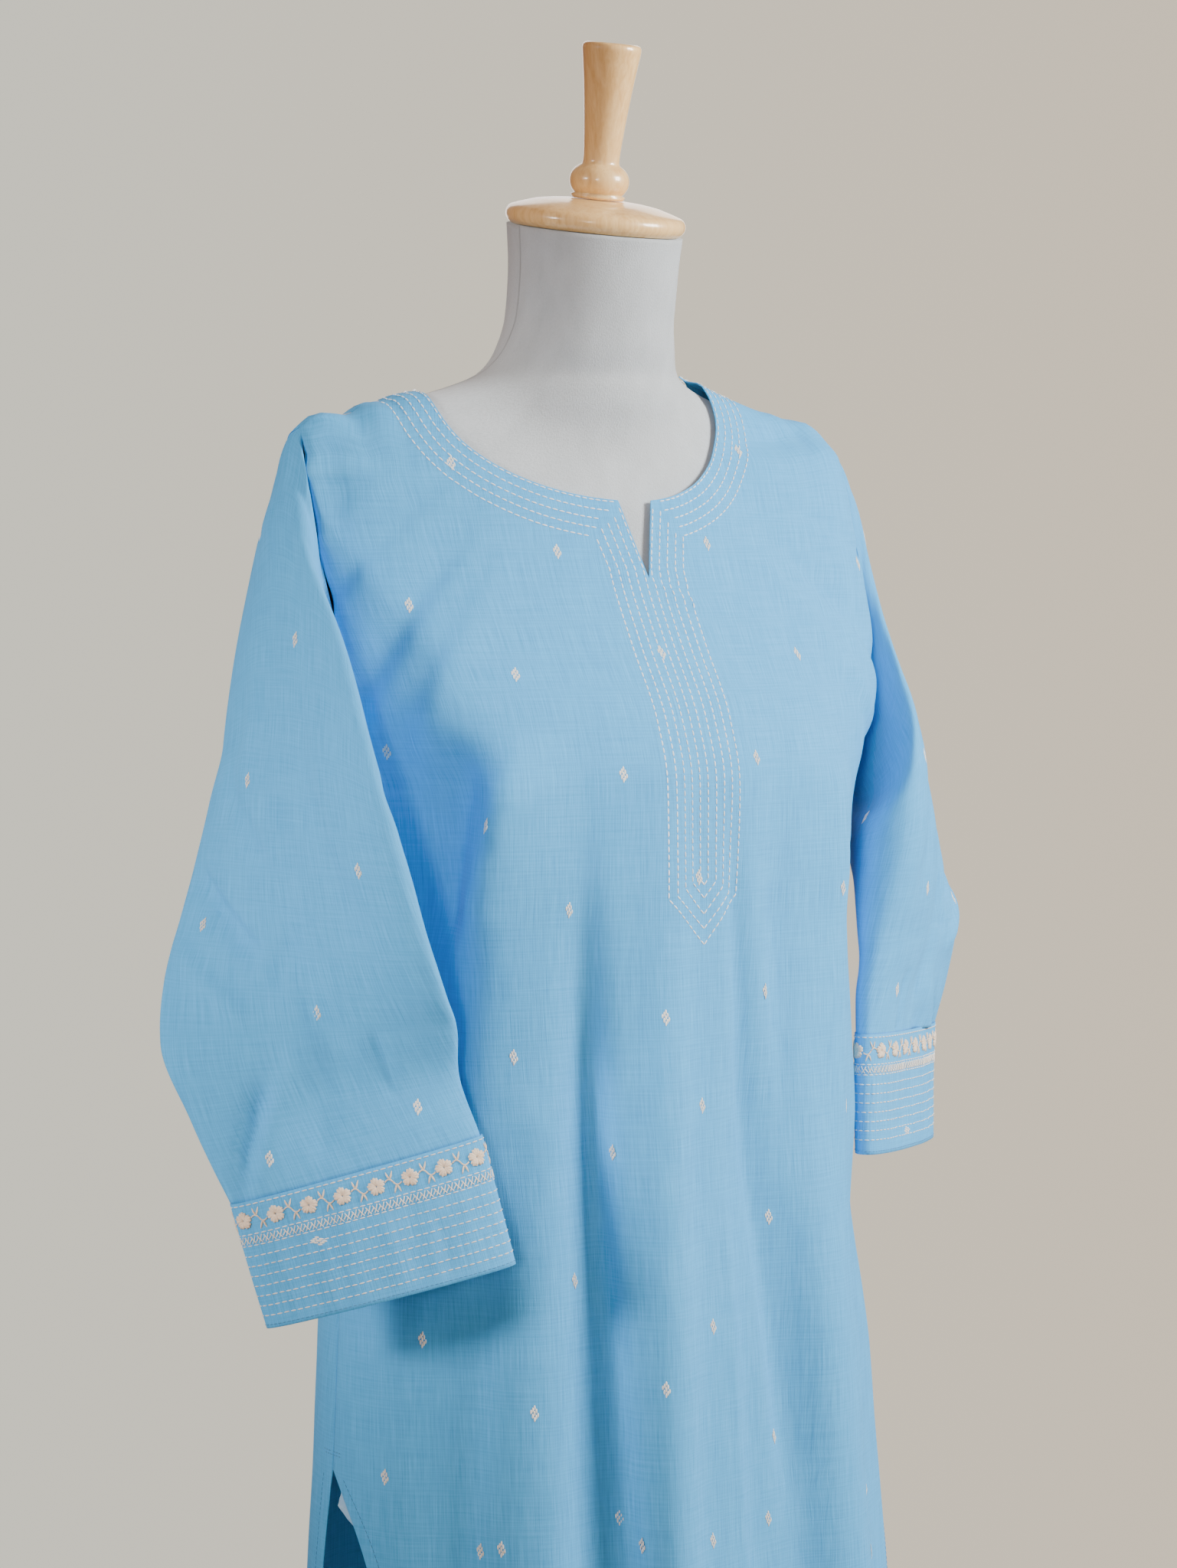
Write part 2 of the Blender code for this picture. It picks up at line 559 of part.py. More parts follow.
def dress_form():
    """Torso and neck as one closed skin, flat underneath, with the neck's top tipped forward."""
    rows = np.concatenate([[FORM_FOOT], np.linspace(0.72, 1.24, 12), np.linspace(1.265, 1.36, 7),
                           np.linspace(1.366, 1.412, 11), np.linspace(1.425, FORM_RINGS[-1, 0], 5)])
    turn = np.linspace(0, 2 * math.pi, FORM_COLUMNS, endpoint=False)
    angles = np.arctan2(0.6 * np.sin(turn), np.cos(turn))
    points = form_point(angles[None, :], rows[:, None])
    faces = grid_faces(len(rows), FORM_COLUMNS, closed=True)
    count = len(rows) * FORM_COLUMNS
    flat = points.reshape(-1, 3)
    ends = [points[0].mean(axis=0), points[-1].mean(axis=0)]
    for j in range(FORM_COLUMNS):
        k = (j + 1) % FORM_COLUMNS
        faces.append((k, j, count))
        faces.append((count - FORM_COLUMNS + j, count - FORM_COLUMNS + k, count + 1))
    piece = add_object("dress_form", np.vstack([flat, ends]), faces, JERSEY)
    face_out(piece)
    return piece


def face_out(piece):
    """Turn a closed mesh's faces outward."""
    mesh = bmesh.new()
    mesh.from_mesh(piece.data)
    bmesh.ops.recalc_face_normals(mesh, faces=mesh.faces)
    mesh.to_mesh(piece.data)
    mesh.free()


def turned(name, profile, centre, lean, finish):
    """A turned piece: a profile of (radius, height) pairs swept round a leaning axis."""
    profile = np.array(profile)
    angles = np.linspace(0, 2 * math.pi, TURNED_STEPS, endpoint=False)
    radius, height = profile[:, 0, None], profile[:, 1, None]
    local = np.stack([radius * np.cos(angles), radius * np.sin(angles), height + 0 * angles], -1)
    y = local[..., 1] * math.cos(lean) - local[..., 2] * math.sin(lean)
    z = local[..., 1] * math.sin(lean) + local[..., 2] * math.cos(lean)
    points = np.stack([local[..., 0], y, z], axis=-1).reshape(-1, 3) + np.array(centre)
    faces = grid_faces(len(profile), TURNED_STEPS, closed=True)
    count = len(points)
    axis = np.array([0, -math.sin(lean), math.cos(lean)])
    ends = [np.array(centre) + axis * profile[0, 1], np.array(centre) + axis * profile[-1, 1]]
    for j in range(TURNED_STEPS):
        k = (j + 1) % TURNED_STEPS
        faces.append((k, j, count))
        faces.append((count - TURNED_STEPS + j, count - TURNED_STEPS + k, count + 1))
    piece = add_object(name, np.vstack([points, ends]), faces, finish)
    face_out(piece)
    return piece


def arc(centre_r, centre_h, radius, start, stop, steps):
    """Profile points on a circle's arc, in degrees from the outward direction upwards."""
    turn = np.radians(np.linspace(start, stop, steps))
    return [(centre_r + radius * math.cos(t), centre_h + radius * math.sin(t)) for t in turn]


def neck_top():
    """The middle of the form's tipped top."""
    middle = FORM_RINGS[-1, 2]
    return np.array([0.0, -middle, FORM_RINGS[-1, 0]])


def wood_on_neck():
    """Disc, then bead and handle, on the neck's leaning axis."""
    foot = neck_top() + np.array([0, -math.sin(LEAN), math.cos(LEAN)]) * SEAM
    rim = 0.0065
    disc = [(CAP_RADIUS - 0.004, 0)]
    disc += arc(CAP_RADIUS - rim, rim, rim, -60, 60, 6)
    disc += [(0.050, 0.0142), (0.040, 0.0172), (0.030, 0.0188), (0.0215, 0.0195)]
    turned("neck_cap", disc, foot, LEAN, HONEY_WOOD)
    seat = foot + np.array([0, -math.sin(LEAN), math.cos(LEAN)]) * (0.0195 + SEAM)
    bead = [(0.0165, 0), (0.0180, 0.0022)]
    bead += arc(0.0085, 0.0118, 0.0110, -50, 50, 7)
    handle = [(0.0118, 0.0228), (0.0119, 0.0300), (0.0138, 0.0520), (0.0165, 0.0760),
              (0.0187, 0.0915), (0.0194, 0.0965), (0.0186, 0.0990), (0.0162, 0.1000)]
    turned("finial", bead + handle, seat, LEAN, HONEY_WOOD)


def stand():
    """A plain pole and round base."""
    place = (0, -POLE_FORWARD, 0)
    edge = 0.006
    base = [(BASE_RADIUS - 0.002, 0), (BASE_RADIUS, 0.002), (BASE_RADIUS, BASE_THICK - 0.012)]
    base += arc(BASE_RADIUS - edge, BASE_THICK - 0.012, edge, 15, 75, 4)
    base += [(0.120, BASE_THICK - 0.002), (0.040, BASE_THICK)]
    turned("stand_base", base, place, 0, HONEY_WOOD)
    pole = [(POLE_RADIUS + 0.012, BASE_THICK + SEAM), (POLE_RADIUS + 0.010, BASE_THICK + 0.010),
            (POLE_RADIUS + 0.003, BASE_THICK + 0.022), (POLE_RADIUS, BASE_THICK + 0.032),
            (POLE_RADIUS, 0.5), (POLE_RADIUS, FORM_FOOT - SEAM)]
    turned("stand_pole", pole, place, 0, HONEY_WOOD)


def stand_on_origin():
    """Move everything so that the origin is under the middle of the whole box."""
    pieces = [o for o in bpy.context.scene.objects if o.type == "MESH"]
    corners = np.array([tuple(v.co) for o in pieces for v in o.data.vertices])
    low, high = corners.min(axis=0), corners.max(axis=0)
    shift = ((low[0] + high[0]) / 2, (low[1] + high[1]) / 2, low[2])
    for piece in pieces:
        for vertex in piece.data.vertices:
            vertex.co = [c - s for c, s in zip(vertex.co, shift)]
        piece.data.update()


def main():
    for leftover in list(bpy.data.objects):
        bpy.data.objects.remove(leftover, do_unlink=True)
    dress_form()
    wood_on_neck()
    stand()
    kurta_front()
    kurta_back()
    sleeve("sleeve_right", SLEEVE_RIGHT, -1)
    sleeve("sleeve_left", SLEEVE_LEFT, 1)
    cuff("cuff_right", CUFF_RIGHT, -1)
    cuff("cuff_left", CUFF_LEFT, 1)
    slit_tab()
    stand_on_origin()


main()
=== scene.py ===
"""A straight kurta on a limbless dress form: the looks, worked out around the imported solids.

Metres, +Z up. The kurta faces -Y and its right side is at -X. A place on the body is an angle and
a height: 0 degrees is the right side, 90 the centre front, 180 the left side and 270 the centre
back. Every piece of cloth is a surface of two parameters. A chart of it turns a flat place on the
cut cloth, across and down in metres, into those parameters, so seams, stitches and embroidery are
drawn flat and laid on the cloth.
"""
import math

import bpy
import numpy as np
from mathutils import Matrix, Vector


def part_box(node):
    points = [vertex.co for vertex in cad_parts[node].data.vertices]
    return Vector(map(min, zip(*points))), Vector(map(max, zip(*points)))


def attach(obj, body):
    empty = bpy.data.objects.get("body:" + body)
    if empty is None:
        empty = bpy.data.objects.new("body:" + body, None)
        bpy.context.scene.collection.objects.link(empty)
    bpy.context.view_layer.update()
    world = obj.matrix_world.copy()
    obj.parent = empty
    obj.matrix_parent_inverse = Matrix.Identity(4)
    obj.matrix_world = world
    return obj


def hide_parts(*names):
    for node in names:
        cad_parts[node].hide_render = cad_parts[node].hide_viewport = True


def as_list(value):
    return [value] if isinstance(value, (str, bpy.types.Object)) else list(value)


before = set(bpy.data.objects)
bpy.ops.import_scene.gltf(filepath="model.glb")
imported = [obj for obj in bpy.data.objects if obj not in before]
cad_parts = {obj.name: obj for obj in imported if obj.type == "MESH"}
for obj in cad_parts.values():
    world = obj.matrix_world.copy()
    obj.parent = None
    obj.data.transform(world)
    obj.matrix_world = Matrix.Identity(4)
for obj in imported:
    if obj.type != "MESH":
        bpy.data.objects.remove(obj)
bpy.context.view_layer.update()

# Where the body stands: its axis is behind the pole
POLE_FORWARD = 0.020
BASE_LOW, BASE_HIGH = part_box("stand_base")
BODY = np.array([(BASE_LOW.x + BASE_HIGH.x) / 2,
                 (BASE_LOW.y + BASE_HIGH.y) / 2 + POLE_FORWARD, 0.0])

# Cloth
SHELL = 0.0008           # thickness of the cloth as it is seen
CLEAR = 0.0031           # its outer face above the form where it rests
NECK_RIGHT = 0.122       # from the centre to the right neck point
NECK_LEFT = 0.096        # and to the left one
NECK_TOP = 1.400         # height of the right neck point
NECK_TOP_LEFT = 1.413    # and of the left one
NECK_DROP = 0.071        # front neck depth
NECK_SQUARE_RIGHT = 2.1  # squareness of the round neck
NECK_SQUARE_LEFT = 2.15
NECK_TUCK = 0.06         # the left edge turns in by this share at the top
SLIT_HALF = 0.013        # half width of the V slit at its top
SLIT_FOOT = 1.279        # height of the V slit's foot
BACK_RISE = -0.007       # the back neck's middle against the neck points
HEM = 0.300
SIDE_SLIT = 0.717        # top of the side slits
SLIT_OPEN_FRONT = 0.060  # how far the front's edge stands forward of the side at the hem
SLIT_OPEN_BACK = 0.012   # and the back's edge behind it
SLIT_SPREAD = 0.060      # drop over which a slit does most of its opening
ARM_MID = 1.270
ARM_HALF = 0.104
ARM_TURN_RIGHT = 11.0    # half width of the armhole, in degrees round the body
ARM_TURN_LEFT = 12.0
ARM_EGG_RIGHT = 0.30     # share by which it is narrower above and wider below
ARM_EGG_LEFT = 0.0
NECK_LIFT = 0.003        # rise beside the left neck point
LEFT_LIFT = 0.008        # rise at the left shoulder's tip
SIDE_RADIUS = 0.205      # turns an angle into a run round the body
# Turned wood
LEAN = math.radians(10.0)
CAP_RADIUS = 0.0590
POLE_RADIUS = 0.016
BASE_RADIUS = 0.190
BASE_THICK = 0.028
FORM_FOOT = 0.700
FOOT_CURVE = 0.006       # height over which its foot is drawn in
SEAM = 0.00045           # gap between turned pieces

# Rings of the form: height, half width, middle (forward), half depth, squareness, neck radius
FORM_RINGS = np.array([
    (0.700, 0.150, 0.019, 0.089, 2.2, 0.000),
    (0.740, 0.166, 0.018, 0.098, 2.2, 0.000),
    (0.800, 0.170, 0.017, 0.101, 2.2, 0.000),
    (0.880, 0.152, 0.016, 0.094, 2.1, 0.000),
    (0.970, 0.126, 0.017, 0.083, 2.1, 0.000),
    (1.050, 0.142, 0.024, 0.104, 2.1, 0.000),
    (1.110, 0.158, 0.030, 0.122, 2.1, 0.000),
    (1.150, 0.166, 0.0315, 0.1285, 2.2, 0.000),
    (1.190, 0.171, 0.024, 0.124, 2.2, 0.000),
    (1.235, 0.177, 0.010, 0.112, 2.2, 0.010),
    (1.280, 0.186, -0.001, 0.0995, 2.1, 0.030),
    (1.320, 0.193, -0.004, 0.088, 2.0, 0.047),
    (1.350, 0.1955, -0.002, 0.070, 2.0, 0.058),
    (1.368, 0.192, 0.003, 0.054, 2.0, 0.064),
    (1.380, 0.176, 0.007, 0.044, 2.0, 0.0665),
    (1.390, 0.145, 0.010, 0.038, 2.0, 0.068),
    (1.400, 0.100, 0.014, 0.034, 2.0, 0.0660),
    (1.412, 0.066, 0.021, 0.030, 2.0, 0.0590),
    (1.430, 0.044, 0.029, 0.026, 2.0, 0.0565),
    (1.450, 0.030, 0.034, 0.020, 2.0, 0.0548),
    (1.478, 0.020, 0.038, 0.020, 2.0, 0.0553),
    (1.506, 0.010, 0.040, 0.010, 2.0, 0.0575)])
# Rings of the hanging cloth: height, half width, middle (forward), half depth, squareness
CLOTH_RINGS = np.array([
    (0.290, 0.232, 0.054, 0.150, 2.0),
    (0.450, 0.223, 0.053, 0.146, 2.0),
    (0.620, 0.2115, 0.051, 0.139, 2.0),
    (0.700, 0.205, 0.048, 0.137, 2.0),
    (0.790, 0.1985, 0.045, 0.136, 2.0),
    (0.930, 0.187, 0.040, 0.130, 2.0),
    (1.050, 0.187, 0.036, 0.129, 2.0),
    (1.100, 0.189, 0.034, 0.131, 2.1),
    (1.150, 0.192, 0.031, 0.133, 2.1),
    (1.190, 0.196, 0.024, 0.129, 2.1),
    (1.235, 0.200, 0.010, 0.116, 2.1),
    (1.280, 0.204, -0.001, 0.101, 2.1),
    (1.320, 0.206, -0.004, 0.086, 2.0),
    (1.350, 0.207, -0.002, 0.066, 2.0),
    (1.368, 0.206, 0.003, 0.048, 2.0),
    (1.378, 0.196, 0.007, 0.036, 2.0),
    (1.390, 0.128, 0.010, 0.020, 2.0),
    (1.430, 0.030, 0.030, 0.010, 2.0)])
# Large folds: angle and height of the top, angle and height of the foot, half width, height
FOLDS = (
    (41, 1.190, 30, 0.930, 0.022, 0.0100),
    (20, 1.210, 14, 0.900, 0.026, -0.0140),
    (139, 1.190, 149, 0.930, 0.022, 0.0080),
    (158, 1.110, 166, 0.880, 0.024, -0.0080),
    (10, 1.378, 12, 1.200, 0.030, 0.0080),
    (166, 1.384, 165, 1.240, 0.039, 0.0300),
    (53, 1.100, 62, 0.290, 0.016, -0.0100),
    (70, 1.020, 75, 0.290, 0.018, 0.0070),
    (104, 1.060, 109, 0.290, 0.024, -0.0100),
    (126, 1.020, 133, 0.290, 0.020, 0.0080),
    (42, 0.980, 42, 0.290, 0.022, 0.0060),
    (26, 0.930, 24, 0.290, 0.022, -0.0070),
    (152, 0.960, 154, 0.290, 0.022, -0.0060),
    (208, 1.150, 204, 0.290, 0.024, 0.0060),
    (226, 1.200, 224, 0.290, 0.024, -0.0085),
    (246, 1.050, 243, 0.290, 0.022, 0.0070),
    (262, 1.150, 264, 0.290, 0.022, -0.0075),
    (283, 1.020, 285, 0.290, 0.024, 0.0070),
    (304, 1.200, 307, 0.290, 0.024, -0.0085),
    (326, 1.120, 329, 0.290, 0.024, 0.0055))
# Creases that the scene adds on the body, the skirt's long ones among them: angle and height of
# one end, of the other end, half width on the side of smaller angles, on the other side, height
BODY_CREASES = (
    (42, 1.175, 29, 1.050, 0.006, 0.026, 0.0085),
    (31, 1.170, 21, 1.050, 0.018, 0.014, -0.0150),
    (34, 1.320, 10, 1.180, 0.014, 0.008, -0.0056),
    (43, 1.300, 20, 1.160, 0.008, 0.016, 0.0038),
    (27, 1.345, 8, 1.250, 0.008, 0.006, -0.0030),
    (20, 1.352, 6, 1.280, 0.006, 0.006, 0.0022),
    (4, 1.366, 13, 1.370, 0.003, 0.004, 0.0014),
    (4, 1.356, 15, 1.357, 0.003, 0.004, -0.0016),
    (4, 1.345, 17, 1.343, 0.004, 0.005, 0.0014),
    (79, 1.180, 76, 0.100, 0.032, 0.022, 0.0090),
    (55, 1.180, 51, 0.100, 0.018, 0.018, -0.0080),
    (119, 1.180, 120, 0.100, 0.026, 0.020, -0.0095),
    (139, 1.180, 139, 0.100, 0.026, 0.014, 0.0080),
    (56, 0.980, 64, 0.640, 0.016, 0.010, -0.0050),
    (60, 0.860, 70, 0.420, 0.014, 0.005, -0.0045),
    (76, 1.020, 73, 0.640, 0.016, 0.018, 0.0035),
    (100, 1.110, 119, 0.700, 0.014, 0.012, -0.0060),
    (112, 1.060, 127, 0.700, 0.008, 0.018, 0.0035),
    (121, 0.860, 128, 0.430, 0.014, 0.005, -0.0040),
    (130, 0.900, 136, 0.430, 0.005, 0.014, 0.0022),
    (88, 1.283, 112, 1.264, 0.004, 0.003, -0.0012),
    (90, 1.276, 116, 1.252, 0.003, 0.006, 0.0009),
    (147, 1.300, 170, 1.195, 0.006, 0.012, -0.0052),
    (140, 1.290, 164, 1.165, 0.012, 0.007, 0.0034),
    (150, 1.215, 172, 1.140, 0.008, 0.005, -0.0040),
    (134, 1.180, 150, 1.080, 0.012, 0.010, -0.0018),
    (152, 1.330, 172, 1.285, 0.006, 0.005, -0.0018),
    (33, 0.900, 26, 0.620, 0.008, 0.014, -0.0030),
    (48, 0.800, 44, 0.480, 0.010, 0.006, 0.0022),
    (96, 0.900, 99, 0.640, 0.008, 0.010, 0.0016),
    (146, 0.860, 150, 0.520, 0.008, 0.008, 0.0020),
    (196, 1.310, 214, 1.180, 0.008, 0.006, -0.0028),
    (344, 1.310, 326, 1.180, 0.006, 0.008, -0.0030),
    (204, 1.280, 222, 1.150, 0.010, 0.010, 0.0018),
    (336, 1.290, 318, 1.160, 0.010, 0.010, 0.0018),
    (236, 1.000, 232, 0.560, 0.006, 0.013, -0.0035),
    (274, 0.960, 276, 0.500, 0.012, 0.005, -0.0034),
    (296, 0.960, 300, 0.480, 0.005, 0.012, 0.0028),
    (316, 0.900, 318, 0.480, 0.012, 0.006, -0.0030),
    (252, 1.260, 262, 1.140, 0.012, 0.008, -0.0018),
    (288, 1.265, 279, 1.140, 0.008, 0.012, -0.0018),
    (246, 1.060, 256, 1.000, 0.006, 0.005, -0.0020),
    (300, 1.080, 288, 1.010, 0.005, 0.007, -0.0022))
# Gathers over the shoulders beside the armholes: place across, half width, height
GATHERS = ((-0.189, 0.009, 0.0034), (-0.169, 0.008, -0.0046), (-0.146, 0.006, -0.0022),
           (0.172, 0.008, -0.0026))
GATHER_FOOT = 1.340
# Rolled edge of the front beside the right armhole: distance from the seam, half width, height
WELT = ((0.006, 0.0045, 0.0036), (0.016, 0.0055, -0.0018))
WELT_FOOT, WELT_TOP = 1.275, 1.385
RIPPLE = 0.0004          # height of the cloth's small waves
SEAM_ROLL = 0.0007       # how far an edge of front or back rolls in at its seam
HEAD_SINK = 0.0006       # and the head of a sleeve
LEFT_FADE = 14           # how fast the left shoulder's rise fades along the back neck

# Sleeve stations: outward, forward and height of the ring's middle, half width, half thickness,
# then in degrees the turn of the flat side towards the body, the tilt of the ring from upright
# to level, and the lift of its front edge
SLEEVE_RIGHT = np.array([
    (0.2055, 0.000, 1.2680, 0.0340, 0.1055, 0, 0, 0),
    (0.2060, 0.004, 1.2580, 0.0380, 0.0970, 0, 1, 0),
    (0.2130, 0.015, 1.2380, 0.0500, 0.0840, 0, 5, 0),
    (0.2192, 0.034, 1.2140, 0.0730, 0.0670, 0, 10, 0),
    (0.2243, 0.045, 1.1875, 0.0870, 0.0495, 0, 16, 0),
    (0.2278, 0.054, 1.1600, 0.0970, 0.0335, 0, 28, 0),
    (0.2310, 0.060, 1.1300, 0.1010, 0.0230, 4, 55, 0),
    (0.2345, 0.066, 1.0950, 0.1010, 0.0190, 11, 82, 0),
    (0.2380, 0.072, 1.0600, 0.1000, 0.0170, 20, 90, 0),
    (0.2400, 0.078, 1.0270, 0.0980, 0.0160, 32, 90, 0),
    (0.2400, 0.084, 0.9970, 0.0948, 0.0155, 44, 90, 4),
    (0.2335, 0.0935, 0.9600, 0.0840, 0.0150, 53, 90, 10),
    (0.2235, 0.1135, 0.9175, 0.0790, 0.0140, 57, 90, 15.5)])
SLEEVE_LEFT = np.array([
    (0.2085, 0.000, 1.2680, 0.0340, 0.1070, 0, 0, 0),
    (0.2200, 0.002, 1.2600, 0.0390, 0.0990, 0, 3, 0),
    (0.2240, 0.003, 1.2400, 0.0450, 0.0850, 2, 6, 0),
    (0.2270, 0.010, 1.2150, 0.0520, 0.0670, 6, 10, 0),
    (0.2295, 0.023, 1.1875, 0.0650, 0.0510, 12, 16, 0),
    (0.2325, 0.037, 1.1600, 0.0800, 0.0400, 20, 28, 0),
    (0.2360, 0.045, 1.1300, 0.0880, 0.0340, 30, 55, 0),
    (0.2430, 0.049, 1.0950, 0.0890, 0.0310, 40, 82, 0),
    (0.2490, 0.052, 1.0620, 0.0910, 0.0270, 49, 90, 0),
    (0.2520, 0.054, 1.0330, 0.0930, 0.0210, 54, 90, 0),
    (0.2450, 0.057, 1.0000, 0.0880, 0.0170, 55, 90, 2),
    (0.2375, 0.0595, 0.9690, 0.0808, 0.0145, 54, 90, 3)])
CUFF_RIGHT = np.array([
    (0.2233, 0.1138, 0.9186, 0.0799, 0.0149, 57, 90, 15.5),
    (0.2184, 0.1270, 0.8800, 0.0790, 0.0150, 57, 90, 15),
    (0.2139, 0.1398, 0.8440, 0.0780, 0.0150, 57, 90, 14.5)])
CUFF_LEFT = np.array([
    (0.2375, 0.0595, 0.9699, 0.0817, 0.0152, 54, 90, 3),
    (0.2362, 0.0600, 0.9280, 0.0800, 0.0150, 54, 90, 3),
    (0.2360, 0.0610, 0.8885, 0.0785, 0.0150, 54, 90, 3)])
TUBE_SQUARE = 2.4
# The eased head of a sleeve: how far down its ridge, groove and gathers lie, and half widths
HEAD_RIDGE, HEAD_GROOVE, HEAD_GATHERS = (0.011, 0.0065), (0.030, 0.008), (0.016, 0.013)
HEAD_FRONT, HEAD_BACK = -0.190, 0.025    # where the ridge starts and ends, across
HEAD_HIGH, HEAD_LOW = 0.0040, 0.0022     # height of the ridge on the right and left sleeve
# Creases on a sleeve: across and down of one end, of the other end, half widths, height
SLEEVE_CREASES = (
    (-0.053, 0.391, -0.047, 0.439, 0.002, 0.006, -0.0034),
    (0.022, 0.090, 0.002, 0.109, 0.003, 0.003, -0.0020),
    (0.088, 0.290, 0.018, 0.345, 0.006, 0.012, -0.0068),
    (0.095, 0.335, 0.030, 0.382, 0.007, 0.010, 0.0044),
    (0.075, 0.488, 0.026, 0.420, 0.005, 0.010, -0.0071),
    (0.052, 0.472, -0.004, 0.395, 0.010, 0.007, 0.0037),
    (0.010, 0.470, -0.012, 0.420, 0.006, 0.008, -0.0031),
    (0.060, 0.230, 0.010, 0.290, 0.008, 0.010, -0.0037),
    (-0.010, 0.330, 0.014, 0.372, 0.005, 0.007, -0.0031),
    (-0.030, 0.200, -0.064, 0.340, 0.010, 0.014, -0.0034),
    (0.030, 0.160, 0.050, 0.300, 0.014, 0.010, 0.0021),
    (0.000, 0.300, -0.024, 0.430, 0.012, 0.009, -0.0029),
    (-0.012, 0.060, -0.044, 0.170, 0.008, 0.010, -0.0031),
    (0.020, 0.040, 0.006, 0.120, 0.007, 0.009, 0.0023),
    (-0.150, 0.080, -0.120, 0.180, 0.010, 0.012, -0.0029),
    (0.140, 0.100, 0.110, 0.210, 0.012, 0.010, -0.0029),
    (0.180, 0.300, 0.120, 0.360, 0.008, 0.012, -0.0029),
    (-0.170, 0.330, -0.110, 0.400, 0.012, 0.008, -0.0026))
CUFF_CREASES = (
    (-0.030, 0.010, -0.026, 0.080, 0.004, 0.007, -0.0009),
    (0.012, 0.006, 0.016, 0.080, 0.006, 0.004, 0.0009),
    (0.046, 0.000, 0.044, 0.070, 0.005, 0.005, -0.0009),
    (-0.060, 0.020, -0.056, 0.080, 0.005, 0.004, 0.0009),
    (-0.044, 0.038, -0.041, 0.078, 0.003, 0.004, -0.0011),
    (-0.012, 0.034, -0.010, 0.078, 0.004, 0.003, 0.0011),
    (0.028, 0.036, 0.031, 0.080, 0.004, 0.003, 0.0011),
    (0.062, 0.034, 0.060, 0.080, 0.003, 0.004, -0.0013),
    (-0.078, 0.030, -0.076, 0.060, 0.002, 0.003, 0.0013),
    (0.120, 0.000, 0.124, 0.080, 0.006, 0.005, -0.0009),
    (-0.130, 0.000, -0.126, 0.080, 0.006, 0.006, 0.0009))

# Stitched rows round the neck, down the placket and round the cuffs
ROWS = 5
ROW_GAP = 0.00635
EDGE_ROW = 0.0015        # the first row from the edge
PLACKET_HALF = 0.0031    # the innermost pair of lines from the centre
ASIDE_MOVE = 0.0016      # longest single move when a row is carried sideways
LATE_START = 0.0022      # how much later the third of each four rows starts
STITCH_LIFT = 0.35       # a stitch's middle above the cloth, as a share of its rise
TWIST_SHIFT = 0.0137     # how far the thread's twist moves on from one stitch to the next
# Widths of a stitch at its stations, as shares of its full width
STITCH_SHAPE = np.array([0.35, 0.92, 1.0, 0.92, 0.35])
PETAL_SHAPE = np.array([0.45, 0.8, 1.0, 0.95, 0.5])
LEAF_SHAPE = np.array([0.35, 0.8, 1.0, 1.0, 0.75, 0.3])
BAR_SHAPE = np.array([0.45, 1.0, 1.0, 0.45])
# Foot of each placket row: height where it turns in, height of its point
PLACKET_FEET = ((1.0900, 1.0860), (1.0880, 1.0778), (1.0846, 1.0677), (1.0800, 1.0585),
                (1.0785, 1.0484))
# Rows at the hem and slits: height above the hem, distance from a slit's edge, heights of the
# short rows above a slit, and where they start and end beside the seam
HEM_ROW = 0.014
SLIT_ROW = 0.010
TACKS = (0.0095, 0.0115)
TACK_ENDS = (0.0005, 0.0125)
# Cuff border, from the seam down: white rows, flower row, zigzag and the running rows
CUFF_WHITE_ROWS = (0.0022, 0.0205, 0.0275)
CUFF_FLOWERS = 0.0115
CUFF_ZIGZAG = 0.0215
CUFF_FIRST_ROW = 0.0340
CUFF_ROW_GAP = 0.00625
CUFF_ROWS = 7
CUFF_EDGE_ROW = 0.0022   # the blue row, from the cuff's foot
FLOWER_PITCH = 0.0212
ZIGZAG_PITCH = 0.0043
PETAL_INNER, PETAL_OUTER = 0.0004, 0.0056
# A petal's strokes: swing from its middle line in radians, share of the full length
PETAL_STROKES = ((-0.34, 0.93), (0.0, 1.0), (0.34, 0.93))
# Strokes of the vine from a flower's middle, each a start, a control point and an end
LEAF_STROKES = (((0.0122, -0.0020), (0.0112, -0.0036), (0.0098, -0.0068)),
                ((0.0122, -0.0020), (0.0134, -0.0038), (0.0138, -0.0068)),
                ((0.0090, 0.0020), (0.0100, 0.0036), (0.0114, 0.0068)),
                ((0.0090, 0.0020), (0.0078, 0.0038), (0.0074, 0.0068)))
STEM_STROKES = (((0.0056, 0.0010), (0.0086, 0.0038), (0.0106, 0.0)),
                ((0.0106, 0.0), (0.0126, -0.0038), (0.0156, -0.0010)))
# The same for one repeat of the zigzag, from its start on the band's upper line
ZIGZAG_STROKES = (((0.0, 0.0), (0.0010, 0.0025), (0.0026, 0.0050)),
                  ((0.0030, 0.0004), (0.0022, 0.0025), (0.0003, 0.0050)),
                  ((0.0022, 0.0012), (0.0030, 0.0025), (0.0044, 0.0040)))
# Woven buttas read off the photograph on the front: angle, height
FRONT_BUTTAS = (
    (85.8, 1.232), (88.0, 1.091), (88.2, 0.947), (88.8, 0.808), (86.6, 0.674),
    (119.4, 1.302), (109.0, 1.165), (113.6, 1.015), (115.8, 0.869), (114.8, 0.728),
    (137.4, 1.230), (138.6, 1.077), (142.6, 0.933), (147.6, 0.778), (140.6, 0.640),
    (163.2, 1.290), (151.8, 1.364), (56.4, 1.296), (66.0, 1.157), (75.6, 1.005),
    (43.0, 1.219), (51.2, 1.073), (61.2, 0.921), (72.0, 0.776), (22.8, 1.262),
    (36.2, 1.127), (38.8, 0.983), (50.8, 0.842), (61.2, 0.692), (15.4, 1.171),
    (42.6, 0.764), (35.6, 0.680), (19.4, 0.806), (13.4, 0.720), (26.0, 1.352))
